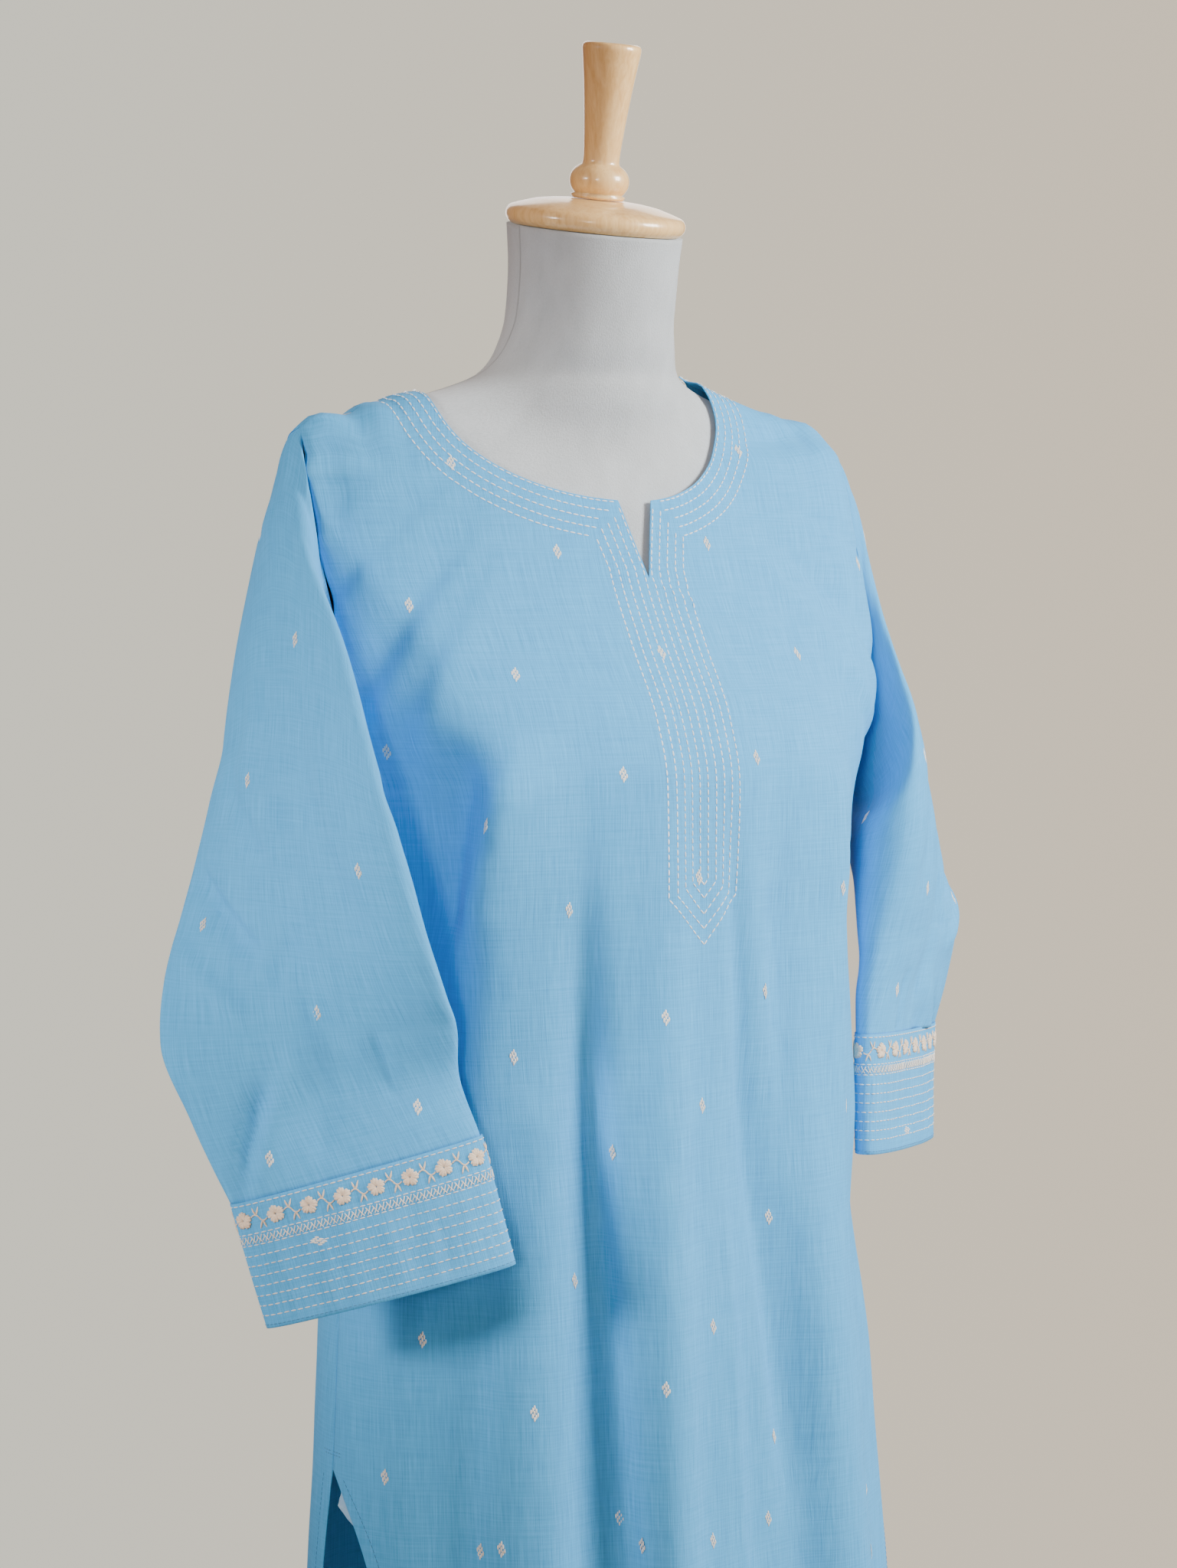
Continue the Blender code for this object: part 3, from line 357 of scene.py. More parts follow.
BUTTA_ACROSS = 0.055     # half of the woven repeat across
BUTTA_DOWN = 0.148       # the repeat down, with every other column half a repeat lower
# Upright bars that make one butta: across, down, length
BUTTA_BARS = ((-0.0021, -0.0010, 0.0028), (-0.0010, -0.0022, 0.0030), (-0.0011, 0.0016, 0.0030),
              (0.0001, -0.0036, 0.0030), (0.0000, 0.0000, 0.0034), (0.0001, 0.0037, 0.0030),
              (0.0012, -0.0015, 0.0030), (0.0011, 0.0023, 0.0030), (0.0022, 0.0011, 0.0028))
# Buttas on the sleeves, outer half: across, down
RIGHT_SLEEVE_BUTTAS = ((-0.021, 0.143), (0.031, 0.235), (-0.075, 0.285), (0.069, 0.327),
                       (-0.015, 0.378), (-0.055, 0.450), (0.042, 0.462), (0.030, 0.060))
LEFT_SLEEVE_BUTTAS = ((-0.066, 0.234), (-0.046, 0.335), (-0.061, 0.406), (0.020, 0.180),
                      (0.010, 0.290), (0.060, 0.350), (-0.040, 0.060), (0.035, 0.100))
# Lace tab: heights, how far its point stands out, and how far behind the front it lies
TAB_TOP, TAB_FOOT = 0.707, 0.684
TAB_REACH = 0.013
TAB_BEHIND = 0.0024
TAB_THICK = 0.0012
TAB_CAUGHT = 0.055       # how far round behind the front it is caught, in radians


def smooth_columns(table, place):
    """Cubic curves through a table's columns, read at place, flat where a column turns."""
    keys = table[:, 0]
    step = np.diff(keys)[:, None]
    rise = np.diff(table[:, 1:], axis=0) / step
    both = rise[:-1] * rise[1:]
    mean = np.where(both > 0, 2 * both / np.where(both > 0, rise[:-1] + rise[1:], 1), 0)
    slope = np.vstack([rise[:1], mean, rise[-1:]])
    place = np.clip(np.asarray(place, float), keys[0], keys[-1])
    row = np.clip(np.searchsorted(keys, place, side="right") - 1, 0, len(keys) - 2)
    width = step[row, 0]
    t = ((place - keys[row]) / width)[..., None]
    width = width[..., None]
    low, high = table[row, 1:], table[row + 1, 1:]
    return ((1 + 2 * t) * (1 - t) ** 2 * low + t * (1 - t) ** 2 * width * slope[row]
            + t * t * (3 - 2 * t) * high + t * t * (t - 1) * width * slope[row + 1])


def soften(x):
    """Smooth step of x from 0 to 1."""
    x = np.clip(x, 0, 1)
    return x * x * (3 - 2 * x)


def bell(distance, width):
    """A bell curve of a distance: 1 at none, 0.37 at one width."""
    return np.exp(-(distance / width) ** 2)


def bells(table, place):
    """Sum of bells along a line, each with its place, half width and height."""
    return sum(height * bell(place - middle, half) for middle, half, height in table)


def oval(angle, half, deep, square):
    """Distance from the middle to a squared oval's edge, in the angle's direction."""
    c = np.abs(np.cos(angle)) / half
    s = np.abs(np.sin(angle)) / deep
    return (c ** square + s ** square) ** (-1.0 / square)


def form_radius(angle, z):
    """The form's ring: an oval torso blended with a round neck by a fourth-power sum."""
    half, _, deep, square, neck = np.moveaxis(smooth_columns(FORM_RINGS, z), -1, 0)
    return (oval(angle, half, deep, square) ** 4 + neck ** 4) ** 0.25


def form_from(middle, angle, z):
    """The form's ring measured from another middle, found by stepping onto the ring."""
    own = smooth_columns(FORM_RINGS, z)[..., 1]
    radius = form_radius(angle, z)
    for _ in range(4):
        aside = radius * np.cos(angle)
        ahead = radius * np.sin(angle) + middle - own
        radius = radius + form_radius(np.arctan2(ahead, aside), z) - np.hypot(ahead, aside)
    return radius


def folds(angle, z, radius):
    """Sum of soft ridges and troughs, each a bell across its line."""
    total = np.zeros(np.broadcast(angle, z).shape)
    for top, z_top, foot, z_foot, half, height in FOLDS:
        t = np.clip((z_top - z) / (z_top - z_foot), 0, 1)
        line = np.radians(top + (foot - top) * t)
        across = (angle - line + math.pi) % (2 * math.pi) - math.pi
        fade = soften((z_top - z) / (0.2 * (z_top - z_foot))) * soften((z - z_foot + 0.12) / 0.12)
        total += height * fade * bell(across * radius, half)
    return total


def creases(table, across, down):
    """Sum of creases: a bell across each line, steeper on one side, fading at both ends."""
    total = np.zeros(np.broadcast(across, down).shape)
    for x0, y0, x1, y1, low_side, high_side, height in table:
        run_x, run_y = x1 - x0, y1 - y0
        length = math.hypot(run_x, run_y)
        along = ((across - x0) * run_x + (down - y0) * run_y) / length ** 2
        aside = ((across - x0) * run_y - (down - y0) * run_x) / length * np.sign(run_y)
        width = np.where(aside < 0, low_side, high_side)
        fade = soften((along + 0.12) / 0.35) * soften((1.12 - along) / 0.35)
        total += height * fade * bell(aside, width)
    return total


def ripple(across, down):
    """Small waves of the cloth: three slanted sine waves of unlike lengths."""
    return RIPPLE * (np.sin(across * 71 + 1.3 * np.sin(down * 23) + 0.4)
                     + 0.7 * np.sin(across * 122 - down * 31 + 1.9)
                     + 0.5 * np.sin(down * 87 + across * 40 + 0.7)) / 2.2


def body_creases(angle, z):
    """Creases on the body, with an angle taken as a run round its mean radius."""
    table = [(math.radians(a) * SIDE_RADIUS, za, math.radians(b) * SIDE_RADIUS, zb, lo, hi, h)
             for a, za, b, zb, lo, hi, h in BODY_CREASES]
    return creases(table, angle * SIDE_RADIUS, z) + ripple(angle * SIDE_RADIUS, z)


def soft_max(a, b, soft):
    """The larger of a and b, rounded where they cross."""
    return 0.5 * (a + b + np.sqrt((a - b) ** 2 + soft * soft))


def armhole_turn(up, side):
    """Half width of the armhole, as an angle, at up from -1 at its foot to 1 at its top."""
    turn, egg = (ARM_TURN_RIGHT, ARM_EGG_RIGHT) if side < 0 else (ARM_TURN_LEFT, ARM_EGG_LEFT)
    return math.radians(turn) * np.sqrt(1 - up * up) * (1 - egg * up)


def armhole_welt(angle, z):
    """The rolled edge of the front beside the right armhole: a narrow ridge, then a groove."""
    up = np.clip((z - ARM_MID) / ARM_HALF, -1, 1)
    aside = (angle - armhole_turn(up, -1)) * SIDE_RADIUS
    return bells(WELT, aside) * soften((z - WELT_FOOT) / 0.05) * soften((WELT_TOP - z) / 0.02)


def cloth_radius(angle, z, fine):
    """The cloth's ring: it hangs as its own oval with folds, but never inside the form."""
    half, middle, deep, square = np.moveaxis(smooth_columns(CLOTH_RINGS, z), -1, 0)
    hanging = oval(angle, half, deep, square)
    hanging = hanging + folds(angle, z, hanging)
    resting = form_from(middle, angle, np.asarray(z) - CLEAR) + CLEAR
    radius = soft_max(hanging, resting, 0.003)
    if fine:
        radius = radius + body_creases(angle, z) + armhole_welt(angle, z)
        radius = soft_max(radius, resting - 0.0010, 0.0006)
    return radius


def around(angle, z, radius, middle):
    """The point at an angle and height on a ring of that radius."""
    return np.stack([-radius * np.cos(angle), -middle - radius * np.sin(angle),
                     np.broadcast_to(z, np.shape(radius))], axis=-1)


def cloth_point(angle, z, fine=True):
    """The cloth's skin: its ring at that height, raised beside the neck and at the left
    shoulder's tip. fine adds the creases, the welt and the gathers."""
    angle, z = np.broadcast_arrays(np.asarray(angle, float), np.asarray(z, float))
    middle = smooth_columns(CLOTH_RINGS, z)[..., 1]
    point = around(angle, z, cloth_radius(angle, z, fine), middle)
    x = point[..., 0]
    beside_neck = bell(x - 0.095, 0.040) * soften((z - 1.350) / 0.045)
    near_tip = soften((x - 0.14) / 0.05) * soften((z - 1.31) / 0.06)
    point[..., 2] += NECK_LIFT * beside_neck + LEFT_LIFT * near_tip
    if fine:
        point[..., 2] += bells(GATHERS, x) * soften((z - GATHER_FOOT) / 0.035)
    return point


def form_point(angle, z):
    """The form's skin. Its top rings tip forward with the neck's lean."""
    angle, z = np.broadcast_arrays(np.asarray(angle, float), np.asarray(z, float))
    middle = smooth_columns(FORM_RINGS, z)[..., 1]
    point = around(angle, z, form_radius(angle, z), middle)
    tip = np.clip((z - 1.43) / (FORM_RINGS[-1, 0] - 1.43), 0, 1) ** 1.5
    point[..., 2] += tip * math.tan(LEAN) * (point[..., 1] + middle)
    return point


def tube_point(stations, side, turn, place, puff=0.0):
    """A flattened tube: at each place a squared oval, tilted and turned as its station says.
    puff moves the skin out along the section."""
    keyed = np.column_stack([np.arange(len(stations)), stations])
    columns = np.moveaxis(smooth_columns(keyed, place), -1, 0)
    out, forward, z, half, thick = columns[:5]
    yaw, tilt, lift = np.radians(columns[5:])
    middle = np.stack([side * out, -forward, z], axis=-1)
    wide = np.stack([-side * np.sin(yaw) * np.cos(lift), -np.cos(yaw) * np.cos(lift),
                     np.sin(lift)], axis=-1)
    thin = np.stack([side * np.sin(tilt) * np.cos(yaw), -np.sin(tilt) * np.sin(yaw),
                     np.cos(tilt)], axis=-1)
    power = 2.0 / (2.0 + (TUBE_SQUARE - 2.0) * np.sin(tilt))
    c = np.sign(np.cos(turn)) * np.abs(np.cos(turn)) ** power
    s = np.sign(np.sin(turn)) * np.abs(np.sin(turn)) ** power
    return (middle + wide * (half * c + 0.3 * puff * np.cos(turn))[..., None]
            + thin * (thick * s + puff * np.sin(turn))[..., None])


def sleeve_point(stations, side, turn, place, puff=0.0):
    """The sleeve: its first ring lies in the armhole, and it becomes the tube by station 2."""
    tube = tube_point(stations, side, turn, place, puff)
    z = ARM_MID + ARM_HALF * np.sin(turn)
    angle = armhole_turn(np.sin(turn), side) * np.sign(np.cos(turn))
    hole = cloth_point(angle if side < 0 else math.pi - angle, z, False)
    blend = soften(place / 1.6)[..., None]
    return hole * (1 - blend) + tube * blend


def outward(surface, u, v, core):
    """Unit normals of surface(u, v), from small steps each way, facing away from the core."""
    along_u = surface(u + 0.004, v) - surface(u - 0.004, v)
    along_v = surface(u, v + 0.0012) - surface(u, v - 0.0012)
    normal = np.cross(along_u, along_v)
    normal /= np.linalg.norm(normal, axis=-1, keepdims=True)
    facing = np.sum(normal * (surface(u, v) - core(v)), axis=-1, keepdims=True)
    return normal * np.where(facing < 0, -1, 1)


def body_core(z):
    """A point inside the body for each height, a little below it so that shoulders face up."""
    z = np.asarray(z, float)
    return np.stack([0 * z, 0 * z - 0.02, z - 0.05], axis=-1)


def tube_core(stations, side):
    """The middle line of a tube, as a function of the place along it."""
    keyed = np.column_stack([np.arange(len(stations)), stations[:, :3]])

    def core(place):
        """A point of the middle line."""
        out, forward, z = np.moveaxis(smooth_columns(keyed, place), -1, 0)
        return np.stack([side * out, -forward, z], axis=-1)
    return core


def blend_rows(table, row, column):
    """Read a table between its rows and columns."""
    row = np.clip(row, 0, table.shape[0] - 1.001)
    column = np.clip(column, 0, table.shape[1] - 1.001)
    i, j = row.astype(int), column.astype(int)
    s, t = row - i, column - j
    return ((1 - s) * ((1 - t) * table[i, j] + t * table[i, j + 1])
            + s * ((1 - t) * table[i + 1, j] + t * table[i + 1, j + 1]))


class Chart:
    """A surface with its flat plan. Across is the run round a ring from the centre turn, down
    is the run along the centre turn from the first step; both are measured on the uncreased
    surface, and the plan is read backwards and forwards by straight interpolation."""

    def __init__(self, surface, core, turns, steps, centre):
        self.surface, self.core, self.turns, self.steps = surface, core, turns, steps
        net = surface(turns[None, :], steps[:, None], False)
        run = np.cumsum(np.linalg.norm(np.diff(net, axis=1), axis=-1), axis=1)
        run = np.concatenate([np.zeros((len(steps), 1)), run], axis=1)
        middle = int(np.argmin(np.abs(turns - centre)))
        self.run = run - run[:, middle:middle + 1]
        drop = np.linalg.norm(np.diff(net[:, middle], axis=0), axis=-1)
        self.down = np.concatenate([[0], np.cumsum(drop)])
        share = np.linspace(0, 1, len(turns))
        self.table = np.array([np.interp(share, (r - r[0]) / (r[-1] - r[0]), turns)
                               for r in self.run])

    def places(self, across, down):
        """Turn and step of a flat place."""
        across, down = np.broadcast_arrays(np.asarray(across, float), np.asarray(down, float))
        order = np.arange(len(self.steps))
        row = np.interp(down, self.down, order)
        first = np.interp(row, order, self.run[:, 0])
        last = np.interp(row, order, self.run[:, -1])
        column = (across - first) / (last - first) * (len(self.turns) - 1)
        return blend_rows(self.table, row, column), np.interp(row, order, self.steps)

    def flat(self, turn, step):
        """Across and down of a turn and step."""
        turn, step = np.broadcast_arrays(np.asarray(turn, float), np.asarray(step, float))
        order = np.arange(len(self.steps))
        rising = self.steps[-1] > self.steps[0]
        keys, rows = (self.steps, order) if rising else (self.steps[::-1], order[::-1])
        row = np.interp(step, keys, rows)
        spacing = self.turns[1] - self.turns[0]
        column = (turn - self.turns[0]) / spacing
        return blend_rows(self.run, row, column), np.interp(row, order, self.down)

    def point(self, turn, step):
        """The creased surface's point."""
        return self.surface(turn, step, True)

    def normal(self, turn, step):
        """The creased surface's outward normal."""
        return outward(self.point, turn, step, self.core)

    def beside(self, turn, step, sideways, along=None):
        """Move places over the surface: sideways of a line's own run, or by (across, down)
        offsets, by solving the surface's two tangents for the wanted shift."""
        a = (self.point(turn + 0.002, step) - self.point(turn - 0.002, step)) / 0.004
        b = (self.point(turn, step + 0.001) - self.point(turn, step - 0.001)) / 0.002
        normal = self.normal(turn, step)
        if along is None:
            tangent = np.gradient(self.point(turn, step), axis=-2)
            tangent /= np.linalg.norm(tangent, axis=-1, keepdims=True)
            shift = np.cross(normal, tangent) * np.asarray(sideways)[..., None]
        else:
            level = np.cross(np.broadcast_to((0.0, 0.0, 1.0), normal.shape), normal)
            level /= np.maximum(np.linalg.norm(level, axis=-1, keepdims=True), 1e-6)
            fall = np.cross(level, normal)
            fall *= np.where(fall[..., 2:] > 0, -1, 1)
            shift = level * np.asarray(sideways)[..., None] + fall * np.asarray(along)[..., None]
        aa, bb, ab = (a * a).sum(-1), (b * b).sum(-1), (a * b).sum(-1)
        sa, sb = (shift * a).sum(-1), (shift * b).sum(-1)
        det = aa * bb - ab * ab
        return turn + (sa * bb - sb * ab) / det, step + (sb * aa - sa * ab) / det


def body_chart(start, stop, centre):
    """Chart of the cloth on the body between two angles, in degrees."""
    return Chart(cloth_point, body_core, np.radians(np.linspace(start, stop, 700)),
                 np.linspace(NECK_TOP_LEFT + 0.004, HEM - 0.004, 300), math.radians(centre))


def sleeve_head(across, down):
    """The eased head of a sleeve beside its seam: a rolled ridge from the front over the top,
    a groove outside it, and small gathers at the top."""
    reach = soften((across - HEAD_FRONT) / 0.050) * soften((HEAD_BACK - across) / 0.050)
    ridge = bell(down - HEAD_RIDGE[0], HEAD_RIDGE[1])
    groove = 0.8 * bell(down - HEAD_GROOVE[0], HEAD_GROOVE[1])
    top = bell(across, 0.035) * bell(down - HEAD_GATHERS[0], HEAD_GATHERS[1])
    return reach * (ridge - groove) + top * (1.0 + 0.45 * np.sin(across * 410 + 0.8))


def tube_chart(shape, stations, side, dents, roll):
    """Chart of a sleeve or cuff: the plain tube is charted first, so that its creases can be
    placed on the flat plan. roll is the height of the eased head's ridge."""
    last = len(stations) - 1
    turns = np.linspace(-math.pi / 2, 1.5 * math.pi, 500)
    steps = np.linspace(0, last, 200)
    core = tube_core(stations, side)

    def plain(turn, place, fine=False):
        """The tube without its creases."""
        turn, place = np.broadcast_arrays(np.asarray(turn, float), np.asarray(place, float))
        return shape(stations, side, turn, place)

    flat_plan = Chart(plain, core, turns, steps, math.pi / 2)

    def creased(turn, place, fine=True):
        """The tube with its creases, ripples and eased head."""
        if not fine:
            return plain(turn, place)
        turn, place = np.broadcast_arrays(np.asarray(turn, float), np.asarray(place, float))
        wrapped = (turn + math.pi / 2) % (2 * math.pi) - math.pi / 2
        across, down = flat_plan.flat(wrapped, place)
        puff = creases(dents, across, down) + ripple(across, down)
        puff = puff * soften(down / 0.02 + 0.2) + roll * sleeve_head(across, down)
        return shape(stations, side, turn, place, puff)
    return Chart(creased, core, turns, steps, math.pi / 2)


FRONT = body_chart(-10, 190, 90)
BACK = body_chart(170, 370, 270)
RIGHT_SLEEVE = tube_chart(sleeve_point, SLEEVE_RIGHT, -1, SLEEVE_CREASES, HEAD_HIGH)
LEFT_SLEEVE = tube_chart(sleeve_point, SLEEVE_LEFT, 1, SLEEVE_CREASES, HEAD_LOW)
RIGHT_CUFF = tube_chart(tube_point, CUFF_RIGHT, -1, CUFF_CREASES, 0)
LEFT_CUFF = tube_chart(tube_point, CUFF_LEFT, 1, CUFF_CREASES, 0)


def shader(name):
    """A new material, its node tree and its Principled BSDF."""
    finish = bpy.data.materials.new(name)
    finish.use_nodes = True
    tree = finish.node_tree
    return finish, tree, tree.nodes["Principled BSDF"]


def add_node(tree, kind, **settings):
    """A node with its properties set."""
    node = tree.nodes.new(kind)
    for key, value in settings.items():
        setattr(node, key, value)
    return node


def link_or_set(tree, socket, value):
    """Link an input to another node's output, or give it a constant."""
    if isinstance(value, bpy.types.NodeSocket):
        tree.links.new(value, socket)
    else:
        socket.default_value = value


def feed(tree, node, **inputs):
    """Link or set a node's inputs; a name's underscores stand for spaces, in0 for number 0."""
    for key, value in inputs.items():
        place = int(key[2:]) if key[2:].isdigit() else key.replace("_", " ")
        link_or_set(tree, node.inputs[place], value)
    return node


def math_node(tree, operation, first, second=None, third=None, clamp=False):
    """The result of an operation on up to three values."""
    node = add_node(tree, "ShaderNodeMath", operation=operation, use_clamp=clamp)
    for place, value in enumerate((first, second, third)):
        if value is not None:
            feed(tree, node, **{f"in{place}": value})
    return node.outputs[0]


def add_swing(tree, value, share, base, clamp=False):
    """Base plus a share of a value's swing about one half."""
    swing = math_node(tree, "SUBTRACT", value, 0.5)
    return math_node(tree, "MULTIPLY_ADD", swing, share, base, clamp=clamp)


def noise(tree, vector, stretch, detail=2.0, roughness=0.5, distortion=0.0):
    """Noise stretched by a vector, about 0.5."""
    scaled = feed(tree, add_node(tree, "ShaderNodeMapping"), Vector=vector, Scale=stretch)
    texture = feed(tree, add_node(tree, "ShaderNodeTexNoise"), Vector=scaled.outputs[0], Scale=1.0,
                   Detail=detail, Roughness=roughness, Distortion=distortion)
    return texture.outputs["Fac"]


def mix_colour(tree, factor, dark, light):
    """A colour between dark at 0 and light at 1."""
    node = add_node(tree, "ShaderNodeMix", data_type="RGBA")
    first, second = [s for s in node.inputs if s.type == "RGBA"]
    share = [s for s in node.inputs if s.name == "Factor" and s.type == "VALUE"][0]
    for socket, value in ((share, factor), (first, dark), (second, light)):
        link_or_set(tree, socket, value)
    return [s for s in node.outputs if s.type == "RGBA"][0]


def new_group(name, inputs, outputs):
    """A node group with named sockets."""
    group = bpy.data.node_groups.new(name, "ShaderNodeTree")
    for socket, kind in inputs:
        group.interface.new_socket(name=socket, in_out="INPUT", socket_type=kind)
    for socket, kind in outputs:
        group.interface.new_socket(name=socket, in_out="OUTPUT", socket_type=kind)
    return group, group.nodes.new("NodeGroupInput"), group.nodes.new("NodeGroupOutput")


# Layers of noise in the chambray: stretch along and across the plan, detail, roughness, share
WEAVE_LAYERS = (((1700, 40, 1), 2.0, 0.60, 0.95), ((760, 18, 1), 2.0, 0.55, 0.48),
                ((120, 3, 1), 2.0, 0.50, 0.08), ((26, 900, 1), 2.0, 0.55, 0.50),
                ((11, 8, 1), 3.0, 0.55, 0.14))
SLUB = 1.25              # strength of the slubs
YARN = 0.00056           # repeat of the crossing yarns


def slub_weave():
    """Plain weave of uneven yarn: long slubs along the warp, short ones along the weft, and the
    crossing yarns as two sine waves in opposite phase."""
    group, source, sink = new_group(
        "slub weave",
        [("Flat", "NodeSocketVector"), ("Dark", "NodeSocketColor"), ("Light", "NodeSocketColor"),
         ("Slub", "NodeSocketFloat"), ("Yarn", "NodeSocketFloat")],
        [("Color", "NodeSocketColor"), ("Height", "NodeSocketFloat")])
    given = source.outputs
    total = 0.5
    for stretch, detail, roughness, share in WEAVE_LAYERS:
        layer = noise(group, given["Flat"], stretch, detail, roughness)
        total = add_swing(group, layer, share, total)
    factor = add_swing(group, total, given["Slub"], 0.5, clamp=True)
    parts = feed(group, add_node(group, "ShaderNodeSeparateXYZ"), in0=given["Flat"])
    waves = []
    for axis in (0, 1):
        cycles = math_node(group, "MULTIPLY", parts.outputs[axis], given["Yarn"])
        waves.append(math_node(group, "SINE", cycles))
    crossing = math_node(group, "MULTIPLY", *waves)
    crossed = math_node(group, "MULTIPLY_ADD", crossing, 0.06, factor, clamp=True)
    feed(group, sink, Color=mix_colour(group, crossed, given["Dark"], given["Light"]),
         Height=math_node(group, "MULTIPLY_ADD", crossing, 0.10, total))
    return group


def bump(tree, height, strength, distance):
    """A normal tilted by a height."""
    return feed(tree, add_node(tree, "ShaderNodeBump"), Strength=strength, Distance=distance,
                Height=height).outputs[0]


def flat_place(tree):
    """The place on the flat plan."""
    return add_node(tree, "ShaderNodeUVMap", uv_map="flat").outputs[0]


WEAVE = slub_weave()


def chambray(name, dark, light):
    """Matte cotton: the slub weave over the flat plan, with a little sheen."""
    finish, tree, principled = shader(name)
    weave = feed(tree, add_node(tree, "ShaderNodeGroup", node_tree=WEAVE), Flat=flat_place(tree),
                 Dark=(*dark, 1), Light=(*light, 1), Slub=SLUB, Yarn=2 * math.pi / YARN)
    feed(tree, principled, Base_Color=weave.outputs["Color"], Roughness=0.85,
         Sheen_Weight=0.06, Sheen_Roughness=0.4, Specular_IOR_Level=0.25,
         Normal=bump(tree, weave.outputs["Height"], 0.45, 0.00045))
    return finish


def thread(name, dark, light):
    """Spun thread: a twist of fine slanted lines along each stitch."""
    finish, tree, principled = shader(name)
    place = flat_place(tree)
    twist = noise(tree, place, (900, 2600, 1), 2.0, 0.6)
    tone = noise(tree, place, (120, 120, 1), 2.0, 0.5)
    factor = add_swing(tree, twist, 1.2, tone, clamp=True)
    feed(tree, principled, Base_Color=mix_colour(tree, factor, (*dark, 1), (*light, 1)),
         Roughness=0.62, Sheen_Weight=0.15, Sheen_Roughness=0.4, Specular_IOR_Level=0.35,
         Normal=bump(tree, twist, 0.5, 0.00015))
    return finish


def jersey(name, dark, light):
    """Fine knit: a grain of small loops over the flat plan, with a melange of greys."""
    finish, tree, principled = shader(name)
    place = flat_place(tree)
    grain = noise(tree, place, (620, 560, 1), 3.0, 0.7)
    cloud = noise(tree, place, (40, 30, 1), 3.0, 0.6)
    factor = add_swing(tree, grain, 0.9, cloud, clamp=True)
    feed(tree, principled, Base_Color=mix_colour(tree, factor, (*dark, 1), (*light, 1)),
         Roughness=0.92, Sheen_Weight=0.25, Sheen_Roughness=0.5, Specular_IOR_Level=0.2,
         Normal=bump(tree, grain, 0.8, 0.0009))
    return finish


def honey_wood(name, dark, light):
    """Varnished turned wood: grain lines drawn out along the turning, with soft figure."""
    finish, tree, principled = shader(name)
    place = tree.nodes.new("ShaderNodeTexCoord").outputs["Object"]
    lines = noise(tree, place, (330, 330, 14), 4.0, 0.6, 0.6)
    figure = noise(tree, place, (42, 30, 5), 3.0, 0.55, 1.4)
    pores = noise(tree, place, (1500, 1500, 90), 2.0, 0.5)
    factor = add_swing(tree, lines, 1.5, figure)
    factor = add_swing(tree, pores, 0.35, factor, clamp=True)
    feed(tree, principled, Base_Color=mix_colour(tree, factor, (*dark, 1), (*light, 1)),
         Roughness=0.34, Coat_Weight=0.65, Coat_Roughness=0.12, Specular_IOR_Level=0.45,
         Normal=bump(tree, lines, 0.12, 0.0004))
    return finish


CLOTH = chambray("chambray", (0.036, 0.278, 0.610), (0.092, 0.492, 0.935))
WHITE_THREAD = thread("white thread", (0.66, 0.76, 0.82), (0.92, 0.93, 0.92))
CREAM_THREAD = thread("cream thread", (0.58, 0.44, 0.33), (0.88, 0.76, 0.61))
CUFF_THREAD = thread("cuff thread", (0.60, 0.60, 0.56), (0.88, 0.84, 0.76))
BLUE_THREAD = thread("blue thread", (0.03, 0.15, 0.36), (0.08, 0.30, 0.58))
BUTTA_THREAD = thread("butta thread", (0.66, 0.66, 0.62), (0.90, 0.88, 0.82))
LACE = thread("lace", (0.14, 0.38, 0.68), (0.42, 0.66, 0.88))
JERSEY = jersey("jersey", (0.40, 0.450, 0.480), (0.53, 0.590, 0.63))
WOOD = honey_wood("honey wood", (0.70, 0.40, 0.130), (0.97, 0.71, 0.34))
# Running stitches: pitch, length, half width, rise, thread
NECK_STITCH = (0.0048, 0.0037, 0.00050, 0.00044, WHITE_THREAD)
CUFF_STITCH = (0.0045, 0.0034, 0.00042, 0.00040, CUFF_THREAD)
EDGE_STITCH = (0.0030, 0.0024, 0.00030, 0.00025, BLUE_THREAD)
HEM_STITCH = (0.0032, 0.0025, 0.00028, 0.00022, BLUE_THREAD)


def add_piece(name, points, faces, finish, flat=None, replaces=()):
    """A mesh piece in place, with its flat plan as UV map, riding on the root body."""
    mesh = bpy.data.meshes.new(name)
    points = np.asarray(points, float).reshape(-1, 3) + BODY
    mesh.from_pydata(points.tolist(), [], [list(map(int, f)) for f in faces])
    mesh.update()
    if flat is not None:
        corners = np.zeros(len(mesh.loops), int)
        mesh.loops.foreach_get("vertex_index", corners)
        layer = mesh.uv_layers.new(name="flat")
        layer.data.foreach_set("uv", np.asarray(flat, float).reshape(-1, 2)[corners].ravel())
    mesh.shade_smooth()
    mesh.materials.append(finish)
    piece = bpy.data.objects.new(name, mesh)
    bpy.context.scene.collection.objects.link(piece)
    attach(piece, "root")
    if replaces:
        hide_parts(*replaces)
    return piece


def grid_faces(rows, columns, start=0, closed=False):
    """Quads between neighbouring rows and columns, as an array."""
    last = columns if closed else columns - 1
    i, j = np.meshgrid(np.arange(rows - 1), np.arange(last), indexing="ij")
    k = (j + 1) % columns
    a, b = start + i * columns, start + (i + 1) * columns
    return np.stack([a + j, a + k, b + k, b + j], axis=-1).reshape(-1, 4)


def weld(points, faces, apart=1e-5):
    """Merge points that coincide, and drop the faces' repeated corners."""
    _, first, place = np.unique(np.round(points / apart).astype(np.int64), axis=0,
                                return_index=True, return_inverse=True)
    place = place.reshape(-1)
    kept = []
    for face in place[np.asarray(faces)].tolist():
        corners = [c for n, c in enumerate(face) if c != face[n - 1]]
        if len(set(corners)) > 2:
            kept.append(corners)
    return first, kept


